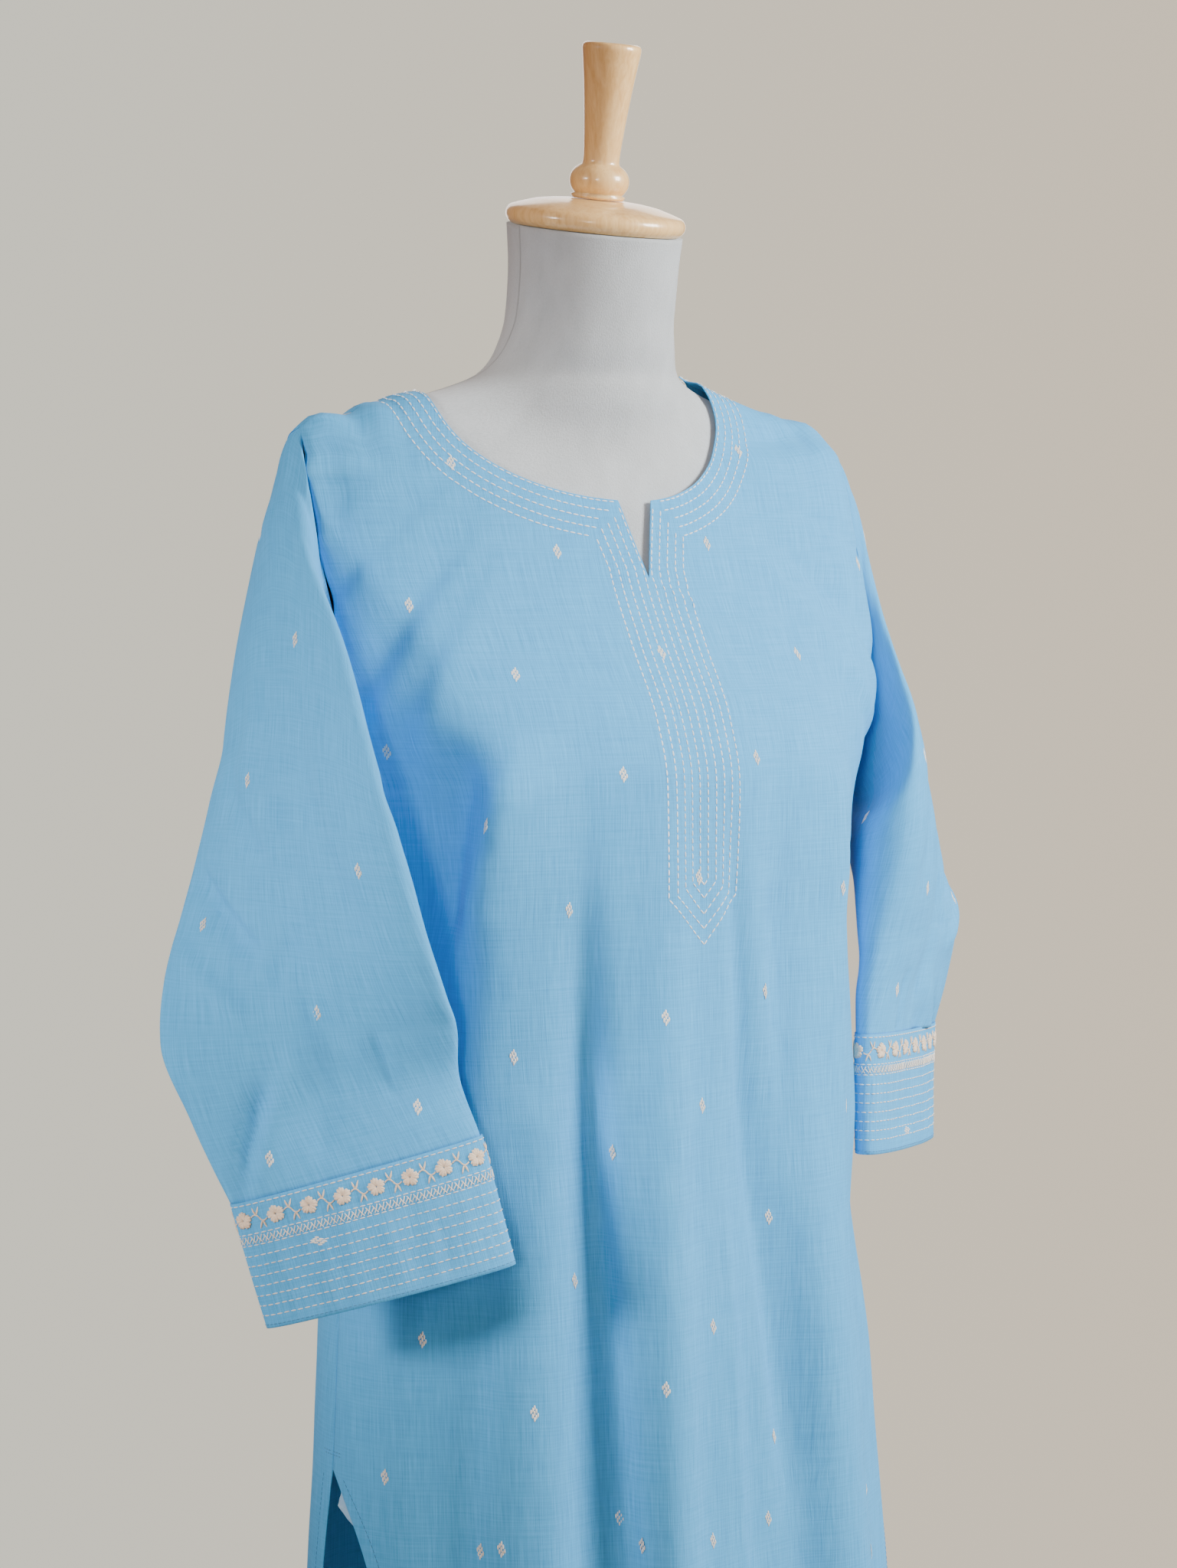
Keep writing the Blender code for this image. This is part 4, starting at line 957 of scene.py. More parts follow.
def face_normal(points, face):
    """The way a face looks, from its first three corners."""
    return np.cross(points[face[1]] - points[face[0]], points[face[2]] - points[face[1]])


def turned_out(points, faces, number, inside):
    """The faces, reversed if the numbered one looks towards a point inside."""
    face = faces[number]
    if float(np.dot(face_normal(points, face), points[face[0]] - inside)) > 0:
        return faces
    return [list(reversed(f)) for f in faces]


def turn_faces_out(points, normals, faces):
    """The faces, reversed if a hundred of them, from halfway on, look against the normals."""
    score = 0.0
    for face in faces[len(faces) // 2:len(faces) // 2 + 100]:
        score += float(np.dot(face_normal(points, face), normals[face[0]]))
    return faces if score > 0 else [list(reversed(f)) for f in faces]


def shell_faces(skin, count):
    """A skin's faces, the same reversed on its next count points, and a rim between them."""
    edges = {(f[n - 1], f[n]) for f in skin for n in range(len(f))}
    rim = sorted((b, a, a + count, b + count) for a, b in edges if (b, a) not in edges)
    return skin + [[i + count for i in reversed(f)] for f in skin] + rim


def cloth_shell(name, chart, turn, step, faces, replaces, sink, shift=(0.0, 0.0)):
    """A thin closed shell of cloth: the chart's surface at each turn and step, let in by sink,
    an inner skin SHELL below it, and a rim along each open edge. shift moves its plan on the
    weave."""
    turn, step = (a.ravel() for a in np.broadcast_arrays(turn, step))
    normals = chart.normal(turn, step)
    points = chart.point(turn, step) - normals * np.ravel(sink)[:, None]
    flat = np.stack(chart.flat(turn, step), axis=-1) + shift
    first, skin = weld(points, faces)
    points, normals, flat = points[first], normals[first], flat[first]
    skin = turn_faces_out(points, normals, skin)
    both = np.vstack([points, points - SHELL * normals])
    return add_piece(name, both, shell_faces(skin, len(points)), CLOTH, np.vstack([flat, flat]),
                     replaces=[replaces])


def round_neck(z, side):
    """Half width of the round neck on one side at a height, the slit left out."""
    top, half, square = ((NECK_TOP, NECK_RIGHT, NECK_SQUARE_RIGHT) if side < 0
                         else (NECK_TOP_LEFT, NECK_LEFT, NECK_SQUARE_LEFT))
    drop = np.clip((top - z) / (top - NECK_TOP + NECK_DROP), 0, 1)
    tuck = NECK_TUCK * soften((z - 1.375) / 0.030) if side > 0 else 0
    return half * (1 - drop ** square) ** (1 / square) * (1 - tuck)


def slit_half(z):
    """Half width of the V slit at a height, carried on above its top."""
    return SLIT_HALF * np.clip((z - SLIT_FOOT) / (NECK_TOP - NECK_DROP - SLIT_FOOT), 0, 1.3)


def angle_of_width(z, side, half):
    """How far round from the side seam the front of the cloth's ring is half wide."""
    angles = np.radians(np.linspace(0, 90, 361))
    places = angles if side < 0 else math.pi - angles
    across = np.abs(cloth_point(places, np.full_like(angles, z), False)[:, 0])
    return float(np.interp(-half, -across, angles))


def left_rise(z):
    """How much a row is raised at the left shoulder, so that it ends at the left neck point."""
    share = np.clip((z - NECK_TOP + NECK_DROP) / NECK_DROP, 0, 1)
    return (NECK_TOP_LEFT - NECK_TOP) * share * share


def side_edge(z, opening, side):
    """Angle between the side of the body and a panel's edge: seam, armhole or slit."""
    slit = opening * (1 - np.exp(-np.maximum(0.0, SIDE_SLIT - z) / SLIT_SPREAD))
    return armhole_turn(np.clip((z - ARM_MID) / ARM_HALF, -1, 1), side) + slit / SIDE_RADIUS


def gathered(count, ends=0.8):
    """Shares from 0 to 1, closer together near both ends."""
    t = np.linspace(0, 1, count)
    return t - ends * np.sin(2 * math.pi * t) / (2 * math.pi)


def seam_sink(distance):
    """How far a cloth's edge rolls in towards a seam: a bell over 2 mm."""
    return SEAM_ROLL * bell(distance, 0.002)


def neck_heights(count):
    """Heights down the round neck, from the shoulder to the slit's corner."""
    return NECK_TOP - NECK_DROP * np.sin(np.linspace(0, math.pi / 2, count)) ** 1.25


def skirt_heights(count):
    """Heights from the top of the side slits to the hem, closer together near the top."""
    return SIDE_SLIT - (SIDE_SLIT - HEM) * np.linspace(0, 1, count)[1:] ** 1.3


def front_panel():
    """The front: two halves from the side to the neck, slit or centre, joined at the centre."""
    rows = np.concatenate([neck_heights(48), np.linspace(NECK_TOP - NECK_DROP, SLIT_FOOT, 20)[1:],
                           np.linspace(SLIT_FOOT, SIDE_SLIT, 150)[1:], skirt_heights(76)])
    spread = gathered(66)
    angles, heights, faces = [], [], []
    for side, own_rows in ((-1, rows), (1, rows + left_rise(rows))):
        starts = side_edge(own_rows, SLIT_OPEN_FRONT, side)
        edges = np.maximum(round_neck(own_rows, side), slit_half(own_rows))
        stops = np.array([max(s, angle_of_width(z, side, float(e)))
                          if z > SLIT_FOOT + 1e-6 else math.pi / 2
                          for z, s, e in zip(own_rows, starts, edges)])
        grid = starts[:, None] + (stops - starts)[:, None] * spread
        angles.append(grid if side < 0 else math.pi - grid)
        heights.append(np.broadcast_to(own_rows[:, None], grid.shape))
        faces.append(grid_faces(len(rows), len(spread), start=len(faces) * grid.size))
    faces[1] = faces[1][:, ::-1]
    edge = [np.abs(a - a[:, :1]) * SIDE_RADIUS for a in angles]
    sink = seam_sink(np.concatenate([e.ravel() for e in edge]))
    return cloth_shell("front_panel", FRONT, np.concatenate([a.ravel() for a in angles]),
                       np.concatenate([h.ravel() for h in heights]), np.vstack(faces),
                       "kurta_front", sink)


def back_neck_lift(spread):
    """How far the back neck's edge lies from the shoulders' height, by share of the way round."""
    return BACK_RISE * np.sin(math.pi * np.clip(spread, 0, 1)) ** 0.5


def back_panel():
    """The back: one grid from the left side round the centre back to the right side."""
    yoke = 0.110
    rows = np.concatenate([NECK_TOP - yoke * np.linspace(0, 1, 50) ** 1.5,
                           np.linspace(NECK_TOP - yoke, SIDE_SLIT, 130)[1:], skirt_heights(60)])
    spread = gathered(118)
    left = side_edge(rows, SLIT_OPEN_BACK, 1)[:, None]
    right = side_edge(rows, SLIT_OPEN_BACK, -1)[:, None]
    angle = math.pi + left + (math.pi - left - right) * spread
    blend = np.clip((rows - 1.30) / (NECK_TOP - 1.30), 0, 1)[:, None] ** 2
    near = np.minimum(angle - angle[:, :1], angle[:, -1:] - angle) * SIDE_RADIUS
    raised = left_rise(rows)[:, None] * (1 - spread) ** LEFT_FADE
    return cloth_shell("back_panel", BACK, angle,
                       rows[:, None] + back_neck_lift(spread) * blend + raised,
                       grid_faces(len(rows), len(spread)), "kurta_back", seam_sink(near),
                       shift=(0.31, 0.17))


def tube_shell(name, chart, places, columns, replaces, shift, head_sink):
    """A sleeve's or cuff's shell: rings at each place, closed round under the arm. Its head
    rolls in by head_sink, a bell over 4 mm."""
    turn = np.linspace(-math.pi / 2, 1.5 * math.pi, columns)[None, :]
    place = places[:, None]
    _, down = chart.flat(0 * turn + math.pi / 2, place)
    sink = head_sink * bell(down, 0.004) + 0 * turn
    return cloth_shell(name, chart, turn, place, grid_faces(len(places), columns), replaces, sink,
                       shift)


def sleeve_places(stations):
    """Places of a sleeve's rings, closer together near the armhole."""
    return np.concatenate([np.linspace(0, 2, 60), np.linspace(2, len(stations) - 1, 130)[1:]])


def stitch_mesh(name, chart, turn, step, half, rise, finish, sides=5):
    """Raised stitches: each row of turn and step is one stitch's middle line. Its section is
    an oval that stands half buried in the cloth, and both ends are closed flat."""
    points = chart.point(turn, step)
    normals = chart.normal(turn, step)
    tangent = np.gradient(points, axis=1)
    tangent /= np.linalg.norm(tangent, axis=-1, keepdims=True)
    beside = np.cross(normals, tangent)
    count, stations = turn.shape
    half = np.broadcast_to(half, turn.shape)[..., None, None]
    rise = np.broadcast_to(rise, turn.shape)[..., None, None]
    phi = np.linspace(0, 2 * math.pi, sides, endpoint=False) + math.pi / 2
    skin = (points[:, :, None] + beside[:, :, None] * half * np.cos(phi)[:, None]
            + normals[:, :, None] * rise * (np.sin(phi)[:, None] + STITCH_LIFT))
    run = np.cumsum(np.linalg.norm(np.diff(points, axis=1), axis=-1), axis=1)
    run = np.concatenate([np.zeros((count, 1)), run], axis=1)
    along = run[:, :, None] + np.arange(count)[:, None, None] * TWIST_SHIFT
    flat = np.stack(np.broadcast_arrays(along, phi * 0.0004), axis=-1)
    offsets = (np.arange(count) * stations * sides)[:, None, None]
    faces = (grid_faces(stations, sides, closed=True)[None] + offsets).reshape(-1, 4).tolist()
    first = np.arange(sides)[::-1]
    last = np.arange(sides) + (stations - 1) * sides
    caps = (np.stack([first, last])[None] + offsets).reshape(-1, sides).tolist()
    faces = turned_out(skin.reshape(-1, 3), faces, 0, points[0, 0]) + caps
    return add_piece(name, skin, faces, finish, flat)


def along_line(chart, turn, step, pitch, length, start):
    """Stitches along a line of places: turn and step of each one's stations."""
    points = chart.point(turn, step)
    run = np.concatenate([[0], np.cumsum(np.linalg.norm(np.diff(points, axis=0), axis=-1))])
    count = max(int((run[-1] - start - length) / pitch) + 1, 1)
    at = start + np.arange(count)[:, None] * pitch + np.linspace(0, length, len(STITCH_SHAPE))
    return np.interp(at, run, turn), np.interp(at, run, step)


def running_rows(name, chart, lines, stitch):
    """One piece of running stitches along several lines."""
    pitch, length, half, rise, finish = stitch
    placed = [along_line(chart, turn, step, pitch, length, LATE_START if n % 4 == 2 else 0)
              for n, (turn, step) in enumerate(lines)]
    turns, steps = (np.vstack(rows) for rows in zip(*placed))
    return stitch_mesh(name, chart, turns, steps, half * STITCH_SHAPE, rise * STITCH_SHAPE, finish)


def neck_line(side):
    """Turn and step of places along the front neck's edge, from the shoulder to the centre."""
    z = neck_heights(120)
    if side > 0:
        z = z + left_rise(z)
    angle = np.array([angle_of_width(h, side, float(round_neck(h, side))) for h in z])
    return (angle if side < 0 else math.pi - angle), z


def rows_beside(chart, turn, step, side):
    """Rows beside an edge, one after another: the line is carried sideways over the cloth in
    short moves, first by EDGE_ROW and then by ROW_GAP for each row."""
    offset = 0.0
    for row in range(ROWS):
        wanted = EDGE_ROW + row * ROW_GAP
        while offset < wanted - 1e-6:
            move = min(ASIDE_MOVE, wanted - offset)
            turn, step = chart.beside(turn, step, side * move + 0 * turn)
            offset += move
        yield turn, step


def placket_half(z, row):
    """Half width of a row's pair of lines down the slit and the placket."""
    return np.maximum(slit_half(z) + EDGE_ROW, PLACKET_HALF) + row * ROW_GAP


def neck_rows():
    """Rows round the neck that turn at the slit's corner and run down the placket to a point."""
    lines = []
    for side in (-1, 1):
        for row, (turn, step) in enumerate(rows_beside(FRONT, *neck_line(side), side)):
            shoulder, point = PLACKET_FEET[row]
            met = np.abs(FRONT.point(turn, step)[:, 0]) < placket_half(step, row)
            keep = np.arange(len(met)) < (np.argmax(met) if np.any(met) else len(met))
            z = np.concatenate([np.linspace(step[keep][-1], shoulder, 90),
                                np.linspace(shoulder, point, 24)[1:]])
            wide = placket_half(z, row) * np.clip((z - point) / (shoulder - point), 0, 1)
            down = FRONT.flat(np.full_like(z, math.pi / 2), z)[1]
            low_turn, low_step = FRONT.places(side * wide, down)
            lines.append((turn[keep], step[keep]))
            lines.append((low_turn[::-1], low_step[::-1]))
    return lines


def back_neck_rows():
    """The same rows round the back neck."""
    spread = np.linspace(0.02, 0.98, 160)
    step = (NECK_TOP + back_neck_lift(spread)
            + left_rise(NECK_TOP) * (1 - spread) ** LEFT_FADE)
    return list(rows_beside(BACK, math.pi + math.pi * spread, step, -1))


def hem_rows(opening, centre):
    """A row above the hem, a row inside each slit edge and two short rows above each slit."""
    z = np.linspace(SIDE_SLIT - 0.004, HEM + HEM_ROW, 160)
    edge = side_edge(z, opening, 1) + SLIT_ROW / SIDE_RADIUS
    low, high = centre - math.pi / 2 + edge, centre + math.pi / 2 - edge
    turn = np.linspace(low[-1], high[-1], 200)
    lines = [(low, z), (high, z), (turn, np.full_like(turn, HEM + HEM_ROW))]
    for above in TACKS:
        tack = np.full(30, SIDE_SLIT + above)
        run = side_edge(tack, opening, 1) + np.linspace(*TACK_ENDS, 30) / SIDE_RADIUS
        lines += [(centre - math.pi / 2 + run, tack), (centre + math.pi / 2 - run, tack)]
    return lines


def buttas(name, chart, turn, step, sideways=False):
    """Small woven lozenges of upright floats, staggered so that they lean a little."""
    x, y, length = np.array(BUTTA_BARS).T[:, :, None]
    down = y + np.linspace(-0.5, 0.5, len(BAR_SHAPE)) * length
    across = x + 0 * down
    if sideways:
        across, down = down, across
    turn, step, across, down = np.broadcast_arrays(
        np.reshape(turn, (-1, 1, 1)), np.reshape(step, (-1, 1, 1)), across, down)
    turn, step = chart.beside(turn, step, across, down)
    bars = (-1, len(BAR_SHAPE))
    return stitch_mesh(name, chart, turn.reshape(bars), step.reshape(bars), 0.00062 * BAR_SHAPE,
                       0.00026 * BAR_SHAPE, BUTTA_THREAD)


def half_drop(across, down, first):
    """A half-drop repeat over a rectangle of the flat plan."""
    places = []
    for i in range(int(across[0] / BUTTA_ACROSS) - 1, int(across[1] / BUTTA_ACROSS) + 2):
        for j in range(-2, 12):
            x = i * BUTTA_ACROSS + first[0]
            y = (j + 0.5 * (i % 2)) * BUTTA_DOWN + first[1]
            if across[0] < x < across[1] and down[0] < y < down[1]:
                places.append((x, y))
    return np.array(places)


def bent(start, control, end, count=6):
    """A curve from start to end drawn towards a control point."""
    t = np.linspace(0, 1, count)[:, None]
    start, control, end = map(np.asarray, (start, control, end))
    return (1 - t) ** 2 * start + 2 * t * (1 - t) * control + t * t * end


def repeated(strokes, places):
    """Bent strokes drawn at each place."""
    return [bent(*(np.add(place, corner) for corner in stroke))
            for place in places for stroke in strokes]


def petals(places):
    """Five domed petals round each place, each of a few strokes from the middle outwards."""
    strokes = []
    for number, (x, y) in enumerate(places):
        for petal in range(5):
            turn = math.radians(90 + 72 * petal + 14 * math.sin(number * 2.3))
            for swing, share in PETAL_STROKES:
                run = np.linspace(PETAL_INNER, PETAL_OUTER * share, len(PETAL_SHAPE))
                strokes.append(np.stack([x + run * math.cos(turn + swing),
                                         y - run * math.sin(turn + swing)], axis=-1))
    return strokes


def cuff_border(name, chart, reach, first):
    """The embroidered border: flowers, between them a stem with leaves up and down, and a
    zigzag band. Each part's strokes are drawn on the flat plan."""
    middles = [(x, CUFF_FLOWERS) for x in np.arange(-reach, reach, FLOWER_PITCH) + first]
    starts = [(x, CUFF_ZIGZAG) for x in np.arange(-reach, reach, ZIGZAG_PITCH)]
    pieces = []
    for part, strokes, half, rise, finish, sides in (
            ("flowers", petals(middles), 0.00118 * PETAL_SHAPE, 0.00105 * PETAL_SHAPE,
             CREAM_THREAD, 6),
            ("leaves", repeated(LEAF_STROKES, middles), 0.00062 * LEAF_SHAPE,
             0.0006 * LEAF_SHAPE, CREAM_THREAD, 5),
            ("stems", repeated(STEM_STROKES, middles), 0.00048, 0.0005, CREAM_THREAD, 5),
            ("zigzag", repeated(ZIGZAG_STROKES, starts), 0.00034, 0.00042, CUFF_THREAD, 5)):
        turn, step = chart.places(*np.moveaxis(np.array(strokes), -1, 0))
        pieces.append(stitch_mesh(f"{name}_{part}", chart, turn, step, half, rise, finish, sides))
    return pieces


def level_line(chart, reach, down, count):
    """A line straight across the plan, reach to each side."""
    across = np.linspace(-reach, reach, count)
    return chart.places(across, np.full_like(across, down))


def cuff_work(name, chart, first):
    """Everything stitched on one cuff: the border, white rows beside it, the running rows below
    and a blue row at the foot."""
    reach = float(np.abs(chart.run[:, [0, -1]]).min()) - 0.0005
    downs = list(CUFF_WHITE_ROWS) + [CUFF_FIRST_ROW + CUFF_ROW_GAP * k for k in range(CUFF_ROWS)]
    rows = [level_line(chart, reach, down, 400) for down in downs]
    edge = level_line(chart, reach, chart.down[-1] - CUFF_EDGE_ROW, 300)
    return [*cuff_border(name, chart, reach, first),
            running_rows(f"{name}_rows", chart, rows, CUFF_STITCH),
            running_rows(f"{name}_edge", chart, [edge], EDGE_STITCH)]


def closed_turning(name, points, ends, finish, replaces, flat=None):
    """Rings closed round, with a fan to a point at each end."""
    rows, columns = points.shape[:2]
    count = rows * columns
    faces = grid_faces(rows, columns, closed=True).tolist()
    for j in range(columns):
        k = (j + 1) % columns
        faces.append([k, j, count])
        faces.append([count - columns + j, count - columns + k, count + 1])
    skin = np.vstack([points.reshape(-1, 3), ends])
    number = len(faces) // 3
    ring = points[min(faces[number][0] // columns, rows - 1)]
    faces = turned_out(skin, faces, number, ring.mean(axis=0))
    if flat is not None:
        flat = np.vstack([flat.reshape(-1, 2), flat.reshape(-1, 2)[[0, -1]]])
    return add_piece(name, skin, faces, finish, flat, replaces=replaces)


def form_body():
    """Torso and neck under one stretched skin, drawn in a little round its foot."""
    curve_top = FORM_FOOT + FOOT_CURVE
    rows = np.concatenate([[FORM_FOOT],
                           FORM_FOOT + FOOT_CURVE * (1 - np.cos(np.linspace(0.4, 1.57, 5))),
                           np.linspace(FORM_FOOT + 2 * FOOT_CURVE, 1.24, 60),
                           np.linspace(1.245, 1.43, 60), np.linspace(1.434, FORM_RINGS[-1, 0], 24)])
    turn = np.linspace(0, 2 * math.pi, 144, endpoint=False)
    angles = np.arctan2(0.7 * np.sin(turn), np.cos(turn))
    points = form_point(angles[None, :], rows[:, None])
    drawn_in = np.where(rows < curve_top, 1 - (curve_top - rows) * 2.0, 1.0)
    points[:, :, :2] *= drawn_in[:, None, None]
    flat = np.stack(np.broadcast_arrays(np.unwrap(angles)[None, :] * 0.10, rows[:, None]), axis=-1)
    ends = [points[0].mean(axis=0), points[-1].mean(axis=0)]
    return closed_turning("form_body", points, ends, JERSEY, ["dress_form"], flat)


def rounded(profile):
    """Cut a profile's corners: each inner point becomes a short curve."""
    profile = np.asarray(profile, float)
    out = [profile[0]]
    for a, b, c in zip(profile[:-2], profile[1:-1], profile[2:]):
        out.extend(bent(b + (a - b) * 0.35, b, b + (c - b) * 0.35, 5))
    out.append(profile[-1])
    return np.array(out)


def turned(name, profile, centre, lean, replaces, columns):
    """A turned piece: a profile of radius and height swept round a leaning axis."""
    profile, centre = np.asarray(profile, float), np.asarray(centre)
    turn = np.linspace(0, 2 * math.pi, columns, endpoint=False)
    radius, height = profile[:, 0, None], profile[:, 1, None]
    x, y = radius * np.cos(turn), radius * np.sin(turn)
    h = height + 0 * turn
    points = np.stack([x, y * math.cos(lean) - h * math.sin(lean),
                       y * math.sin(lean) + h * math.cos(lean)], axis=-1) + centre
    axis = np.array([0, -math.sin(lean), math.cos(lean)])
    ends = [centre + axis * profile[0, 1], centre + axis * profile[-1, 1]]
    return closed_turning(name, points, ends, WOOD, [replaces])


def arc(centre_r, centre_h, radius, start, stop, steps):
    """Profile points on a circle's arc, in degrees from the outward direction upwards."""
    turn = np.radians(np.linspace(start, stop, steps))
    return [(centre_r + radius * math.cos(t), centre_h + radius * math.sin(t)) for t in turn]


def wood_on_neck():
    """Disc, then bead and handle, on the neck's leaning axis."""
    top = np.array([0.0, -FORM_RINGS[-1, 2], FORM_RINGS[-1, 0]])
    axis = np.array([0, -math.sin(LEAN), math.cos(LEAN)])
    foot = top + axis * SEAM
    rim = 0.0065
    disc = [(CAP_RADIUS - 0.004, 0)] + arc(CAP_RADIUS - rim, rim, rim, -60, 60, 18)
    disc += [(0.0500, 0.0142), (0.0400, 0.0172), (0.0300, 0.0188), (0.0215, 0.0195)]
    turned("cap_disc", disc, foot, LEAN, "neck_cap", 128)
    seat = foot + axis * (0.0195 + SEAM)
    bead = [(0.0165, 0), (0.0180, 0.0022)] + arc(0.0085, 0.0118, 0.0110, -50, 50, 20)
    handle = [(0.0118, 0.0228), (0.0119, 0.0300), (0.0138, 0.0520), (0.0165, 0.0760),
              (0.0187, 0.0915), (0.0194, 0.0965), (0.0186, 0.0990), (0.0162, 0.1000)]
    handle = rounded([bead[-1]] + handle)[1:]
    turned("cap_handle", bead + handle.tolist(), seat, LEAN, "finial", 96)


def stand():
    """The plain pole and round base."""
    place = (0, -POLE_FORWARD, 0)
    edge = 0.006
    base = [(BASE_RADIUS - 0.002, 0), (BASE_RADIUS, 0.002), (BASE_RADIUS, BASE_THICK - 0.012)]
    base += arc(BASE_RADIUS - edge, BASE_THICK - 0.012, edge, 8, 80, 12)
    base += [(0.120, BASE_THICK - 0.002), (0.040, BASE_THICK)]
    turned("base_disc", base, place, 0, "stand_base", 160)
    # The pole's foot flares: extra radius and height above the base
    flare = [(0.012, SEAM), (0.010, 0.010), (0.003, 0.022), (0, 0.032)]
    pole = [(POLE_RADIUS + wide, BASE_THICK + high) for wide, high in flare]
    pole = rounded(pole + [(POLE_RADIUS, 0.5), (POLE_RADIUS, FORM_FOOT - SEAM)])
    turned("pole", pole, place, 0, "stand_pole", 64)


def lace_tab():
    """A small pointed lace tab behind the front's edge, just under the top of the right slit:
    a crochet of fine loops."""
    rows, columns = np.linspace(0, 1, 25)[:, None], np.linspace(0, 1, 17)[None, :]
    z = TAB_TOP + (TAB_FOOT - TAB_TOP) * rows + 0 * columns
    edge = side_edge(z, SLIT_OPEN_FRONT, -1)
    outer = edge - TAB_REACH * (1 - np.abs(2 * rows - 1)) / SIDE_RADIUS
    angle = edge + TAB_CAUGHT + (outer - edge - TAB_CAUGHT) * columns
    loops = 0.0003 * np.sin(rows * 26) * np.sin(columns * 34)
    normals = FRONT.normal(angle, z)
    skin = FRONT.point(angle, z) - normals * (TAB_BEHIND - loops)[..., None]
    points = np.vstack([skin.reshape(-1, 3), (skin - normals * TAB_THICK).reshape(-1, 3)])
    faces = turn_faces_out(points, normals.reshape(-1, 3), grid_faces(25, 17).tolist())
    flat = np.stack(np.broadcast_arrays(columns * 0.02, rows * 0.026), axis=-1).reshape(-1, 2)
    return add_piece("lace_tab", points, shell_faces(faces, len(flat)), LACE,
                     np.vstack([flat, flat]), replaces=["slit_tab"])


# The camera, from the photograph: how far it stands from the body's axis, its height, and where
# the horizon and the axis fall in an image of 1537 x 2048
CAMERA_AWAY = 2.4
CAMERA_HEIGHT = 1.267
CAMERA_AZIMUTH = math.radians(-33)
FOCAL_PIXELS = 4704.0
HORIZON_ROW = 780.0
AXIS_COLUMN = 733.0
IMAGE_WIDE, IMAGE_HIGH = 1537, 2048
# The room: colours of the wall at the camera's left and right, and of the light that comes from
# the dark and the bright side of the room
WALL_LEFT, WALL_RIGHT = (0.90, 0.87, 0.74, 1), (0.92, 0.79, 0.62, 1)
ROOM_DARK, ROOM_BRIGHT = (0.56, 0.22, 0.12, 1), (1.25, 0.93, 0.68, 1)
BRIGHT_SIDE = (0.75, -0.62, 0.22)
ROOM_STRENGTH = 0.46
# Name, place, aim, size (metres of a panel, or degrees of a spot), watts, colour
LIGHTS = (
    ("key", (1.50, -1.60, 2.15), (0, 0, 1.2), 0.8, 124, (1.0, 0.98, 0.96)),
    ("back", (1.2, 2.2, 2.2), (0, 0, 1.1), 1.6, 22, (1.0, 0.98, 0.95)),
    ("near sleeve", (-2.4, -0.15, 1.7), (-0.25, -0.05, 1.08), 21, 470, (1.0, 0.99, 0.98)),
    ("far sleeve", (-1.5, -2.0, 1.45), (0.28, -0.09, 1.12), 14, 460, (1.0, 0.99, 0.98)))


def pale_floor():
    """A round pale floor."""
    mesh = bpy.data.meshes.new("floor")
    turn = np.linspace(0, 2 * math.pi, 96, endpoint=False)
    rim = np.stack([1.5 * np.cos(turn), 1.5 * np.sin(turn), 0 * turn - 0.0002], axis=-1)
    mesh.from_pydata(rim.tolist(), [], [list(range(96))])
    finish, tree, principled = shader("pale floor")
    feed(tree, principled, Base_Color=(0.62, 0.59, 0.55, 1), Roughness=0.8)
    mesh.materials.append(finish)
    floor = bpy.data.objects.new("floor", mesh)
    bpy.context.scene.collection.objects.link(floor)


def facing(tree, way, direction, gain):
    """How far a way faces a direction: 0.5 at right angles, clamped to 0 and 1."""
    dot = feed(tree, add_node(tree, "ShaderNodeVectorMath", operation="DOT_PRODUCT"), in0=way,
               in1=direction)
    return math_node(tree, "MULTIPLY_ADD", dot.outputs["Value"], gain, 0.5, clamp=True)


def surround():
    """A warm pale wall for the camera, and a dim room, brighter on one side, for all else."""
    world = bpy.data.worlds.new("pale room")
    bpy.context.scene.world = world
    world.use_nodes = True
    tree = world.node_tree
    way = tree.nodes.new("ShaderNodeTexCoord").outputs["Generated"]
    to_right = (math.cos(CAMERA_AZIMUTH), math.sin(CAMERA_AZIMUTH), 0)
    wall = mix_colour(tree, facing(tree, way, to_right, 3.0), WALL_LEFT, WALL_RIGHT)
    seen = feed(tree, add_node(tree, "ShaderNodeBackground"), Color=wall, Strength=1.0)
    glow = mix_colour(tree, facing(tree, way, BRIGHT_SIDE, 0.5), ROOM_DARK, ROOM_BRIGHT)
    unseen = feed(tree, tree.nodes["Background"], Color=glow, Strength=ROOM_STRENGTH)
    rays = add_node(tree, "ShaderNodeLightPath")
    choose = feed(tree, add_node(tree, "ShaderNodeMixShader"), in0=rays.outputs["Is Camera Ray"])
    tree.links.new(unseen.outputs[0], choose.inputs[1])
    tree.links.new(seen.outputs[0], choose.inputs[2])
    tree.links.new(choose.outputs[0], tree.nodes["World Output"].inputs[0])


def lights():
    """The key light from the front right, a panel behind, and a soft spot on each sleeve."""
    for name, place, aim, size, power, colour in LIGHTS:
        light = bpy.data.lights.new(name, "AREA" if size < 3 else "SPOT")
        light.energy, light.color = power, colour
        if size < 3:
            light.size = size
        else:
            light.spot_size, light.spot_blend = math.radians(size), 1.0
            light.shadow_soft_size = 0.4
        lamp = bpy.data.objects.new(name, light)
        lamp.location = place
        lamp.rotation_euler = (Vector(aim) - Vector(place)).to_track_quat("-Z", "Y").to_euler()
        bpy.context.scene.collection.objects.link(lamp)


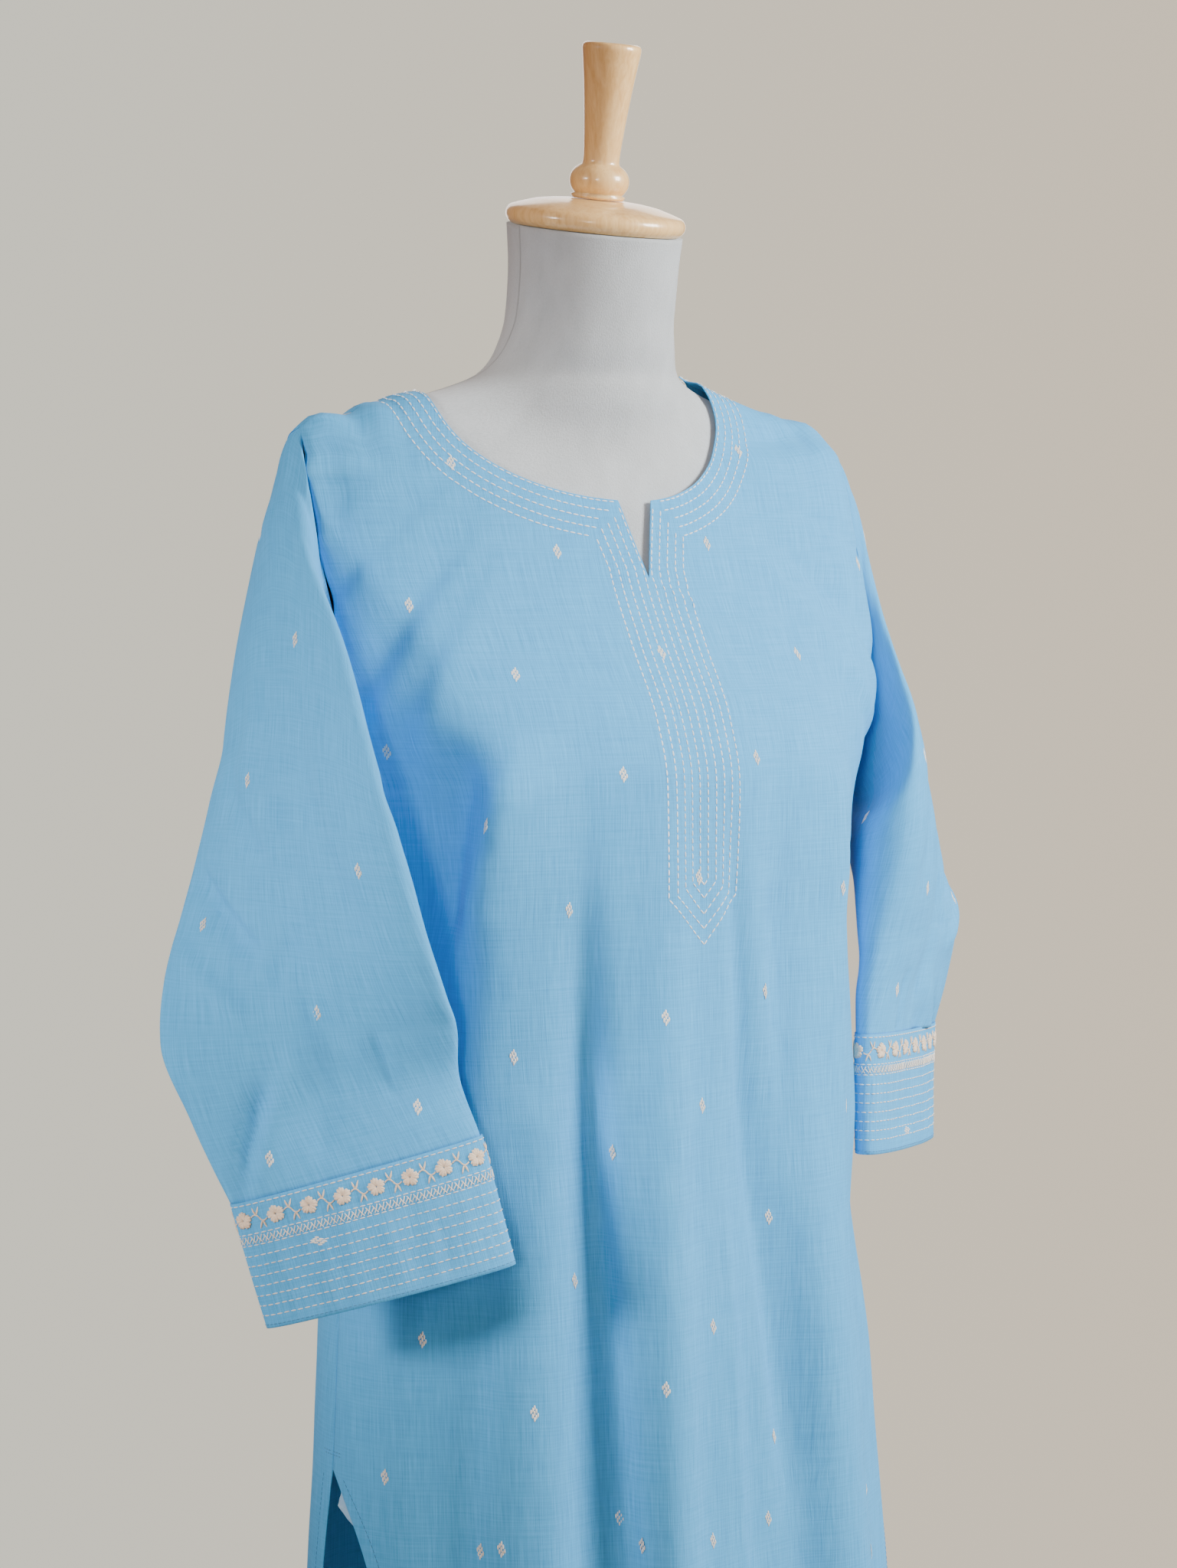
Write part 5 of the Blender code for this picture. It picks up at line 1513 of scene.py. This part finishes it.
def camera():
    """The photograph's camera."""
    data = bpy.data.cameras.new("camera")
    view = bpy.data.objects.new("camera", data)
    bpy.context.scene.collection.objects.link(view)
    back = Vector((math.sin(CAMERA_AZIMUTH), -math.cos(CAMERA_AZIMUTH), 0))
    view.location = Vector(BODY) + back * CAMERA_AWAY + Vector((0, 0, CAMERA_HEIGHT))
    yaw = math.atan((IMAGE_WIDE / 2 - AXIS_COLUMN) / FOCAL_PIXELS)
    pitch = math.atan((IMAGE_HIGH / 2 - HORIZON_ROW) / FOCAL_PIXELS)
    view.rotation_euler = (math.pi / 2 - pitch, 0, CAMERA_AZIMUTH - yaw)
    data.sensor_width = 36
    data.sensor_fit = "AUTO"
    data.lens = FOCAL_PIXELS / IMAGE_HIGH * 36
    bpy.context.scene.camera = view


camera()
pale_floor()
surround()
lights()
form_body()
wood_on_neck()
stand()
front = front_panel()
back = back_panel()
right_sleeve = tube_shell("right_sleeve", RIGHT_SLEEVE, sleeve_places(SLEEVE_RIGHT), 121,
                          "sleeve_right", (0.07, 0.11), HEAD_SINK)
left_sleeve = tube_shell("left_sleeve", LEFT_SLEEVE, sleeve_places(SLEEVE_LEFT), 121,
                         "sleeve_left", (0.53, 0.23), HEAD_SINK)
right_cuff = tube_shell("right_cuff", RIGHT_CUFF, np.linspace(0, 2, 34), 161, "cuff_right",
                        (0.2, 0.4), 0.0)
left_cuff = tube_shell("left_cuff", LEFT_CUFF, np.linspace(0, 2, 34), 161, "cuff_left",
                       (0.4, 0.6), 0.0)
tab = lace_tab()
neck_work = running_rows("neck_rows", FRONT, neck_rows(), NECK_STITCH)
back_neck = running_rows("back_neck_rows", BACK, back_neck_rows(), NECK_STITCH)
front_hem = running_rows("front_hem_rows", FRONT, hem_rows(SLIT_OPEN_FRONT, math.pi / 2),
                         HEM_STITCH)
back_hem = running_rows("back_hem_rows", BACK, hem_rows(SLIT_OPEN_BACK, 1.5 * math.pi),
                        HEM_STITCH)
angles, heights = np.array(FRONT_BUTTAS).T
low = FRONT.places(*half_drop((-0.24, 0.24), (0.735, 1.03), (-0.006, 0.095)).T)
front_buttas = buttas("front_buttas", FRONT, np.concatenate([np.radians(angles), low[0]]),
                      np.concatenate([heights, low[1]]))
back_buttas = buttas("back_buttas", BACK, *BACK.places(*half_drop((-0.21, 0.21), (0.06, 1.06),
                                                                  (0.0, 0.03)).T))
right_cuff_work = cuff_work("right_cuff", RIGHT_CUFF, 0.004)
left_cuff_work = cuff_work("left_cuff", LEFT_CUFF, 0.009)
sleeve_buttas = []
for name, chart, outer in (("right_sleeve_buttas", RIGHT_SLEEVE, RIGHT_SLEEVE_BUTTAS),
                           ("left_sleeve_buttas", LEFT_SLEEVE, LEFT_SLEEVE_BUTTAS)):
    inner = half_drop((-0.19, 0.19), (0.10, chart.down[-1] - 0.03), (0.02, 0.02))
    inner = inner[np.abs(inner[:, 0]) > 0.105]
    spots = np.vstack([np.array(outer), inner])
    sleeve_buttas.append(buttas(name, chart, *chart.places(*spots.T)))
right_cuff_work.append(buttas("right_cuff_butta", RIGHT_CUFF, sideways=True,
                              *RIGHT_CUFF.places(np.array([0.031]), np.array([0.034]))))
left_cuff_work.append(buttas("left_cuff_butta", LEFT_CUFF, sideways=True,
                             *LEFT_CUFF.places(np.array([-0.022]), np.array([0.069]))))

# Each sheet: its flat size, its flat area, how it is held, what holds it, what is sewn on it
for sheet, flat, area, held, under, sewn in (
        (front, (0.560, 1.135), 0.543, "draped", "form_body", [neck_work, front_hem, front_buttas]),
        (back, (0.600, 1.135), 0.583, "draped", "form_body", [back_neck, back_hem, back_buttas]),
        (right_sleeve, (0.480, 0.486), 0.147, "hung", "front_panel", sleeve_buttas[:1]),
        (left_sleeve, (0.508, 0.440), 0.119, "hung", "front_panel", sleeve_buttas[1:]),
        (right_cuff, (0.335, 0.081), 0.0268, "hung", "right_sleeve", right_cuff_work),
        (left_cuff, (0.342, 0.082), 0.0277, "hung", "left_sleeve", left_cuff_work),
        (tab, (0.023, 0.025), 0.00044, "hung", "front_panel", [])):
    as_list(sewn)
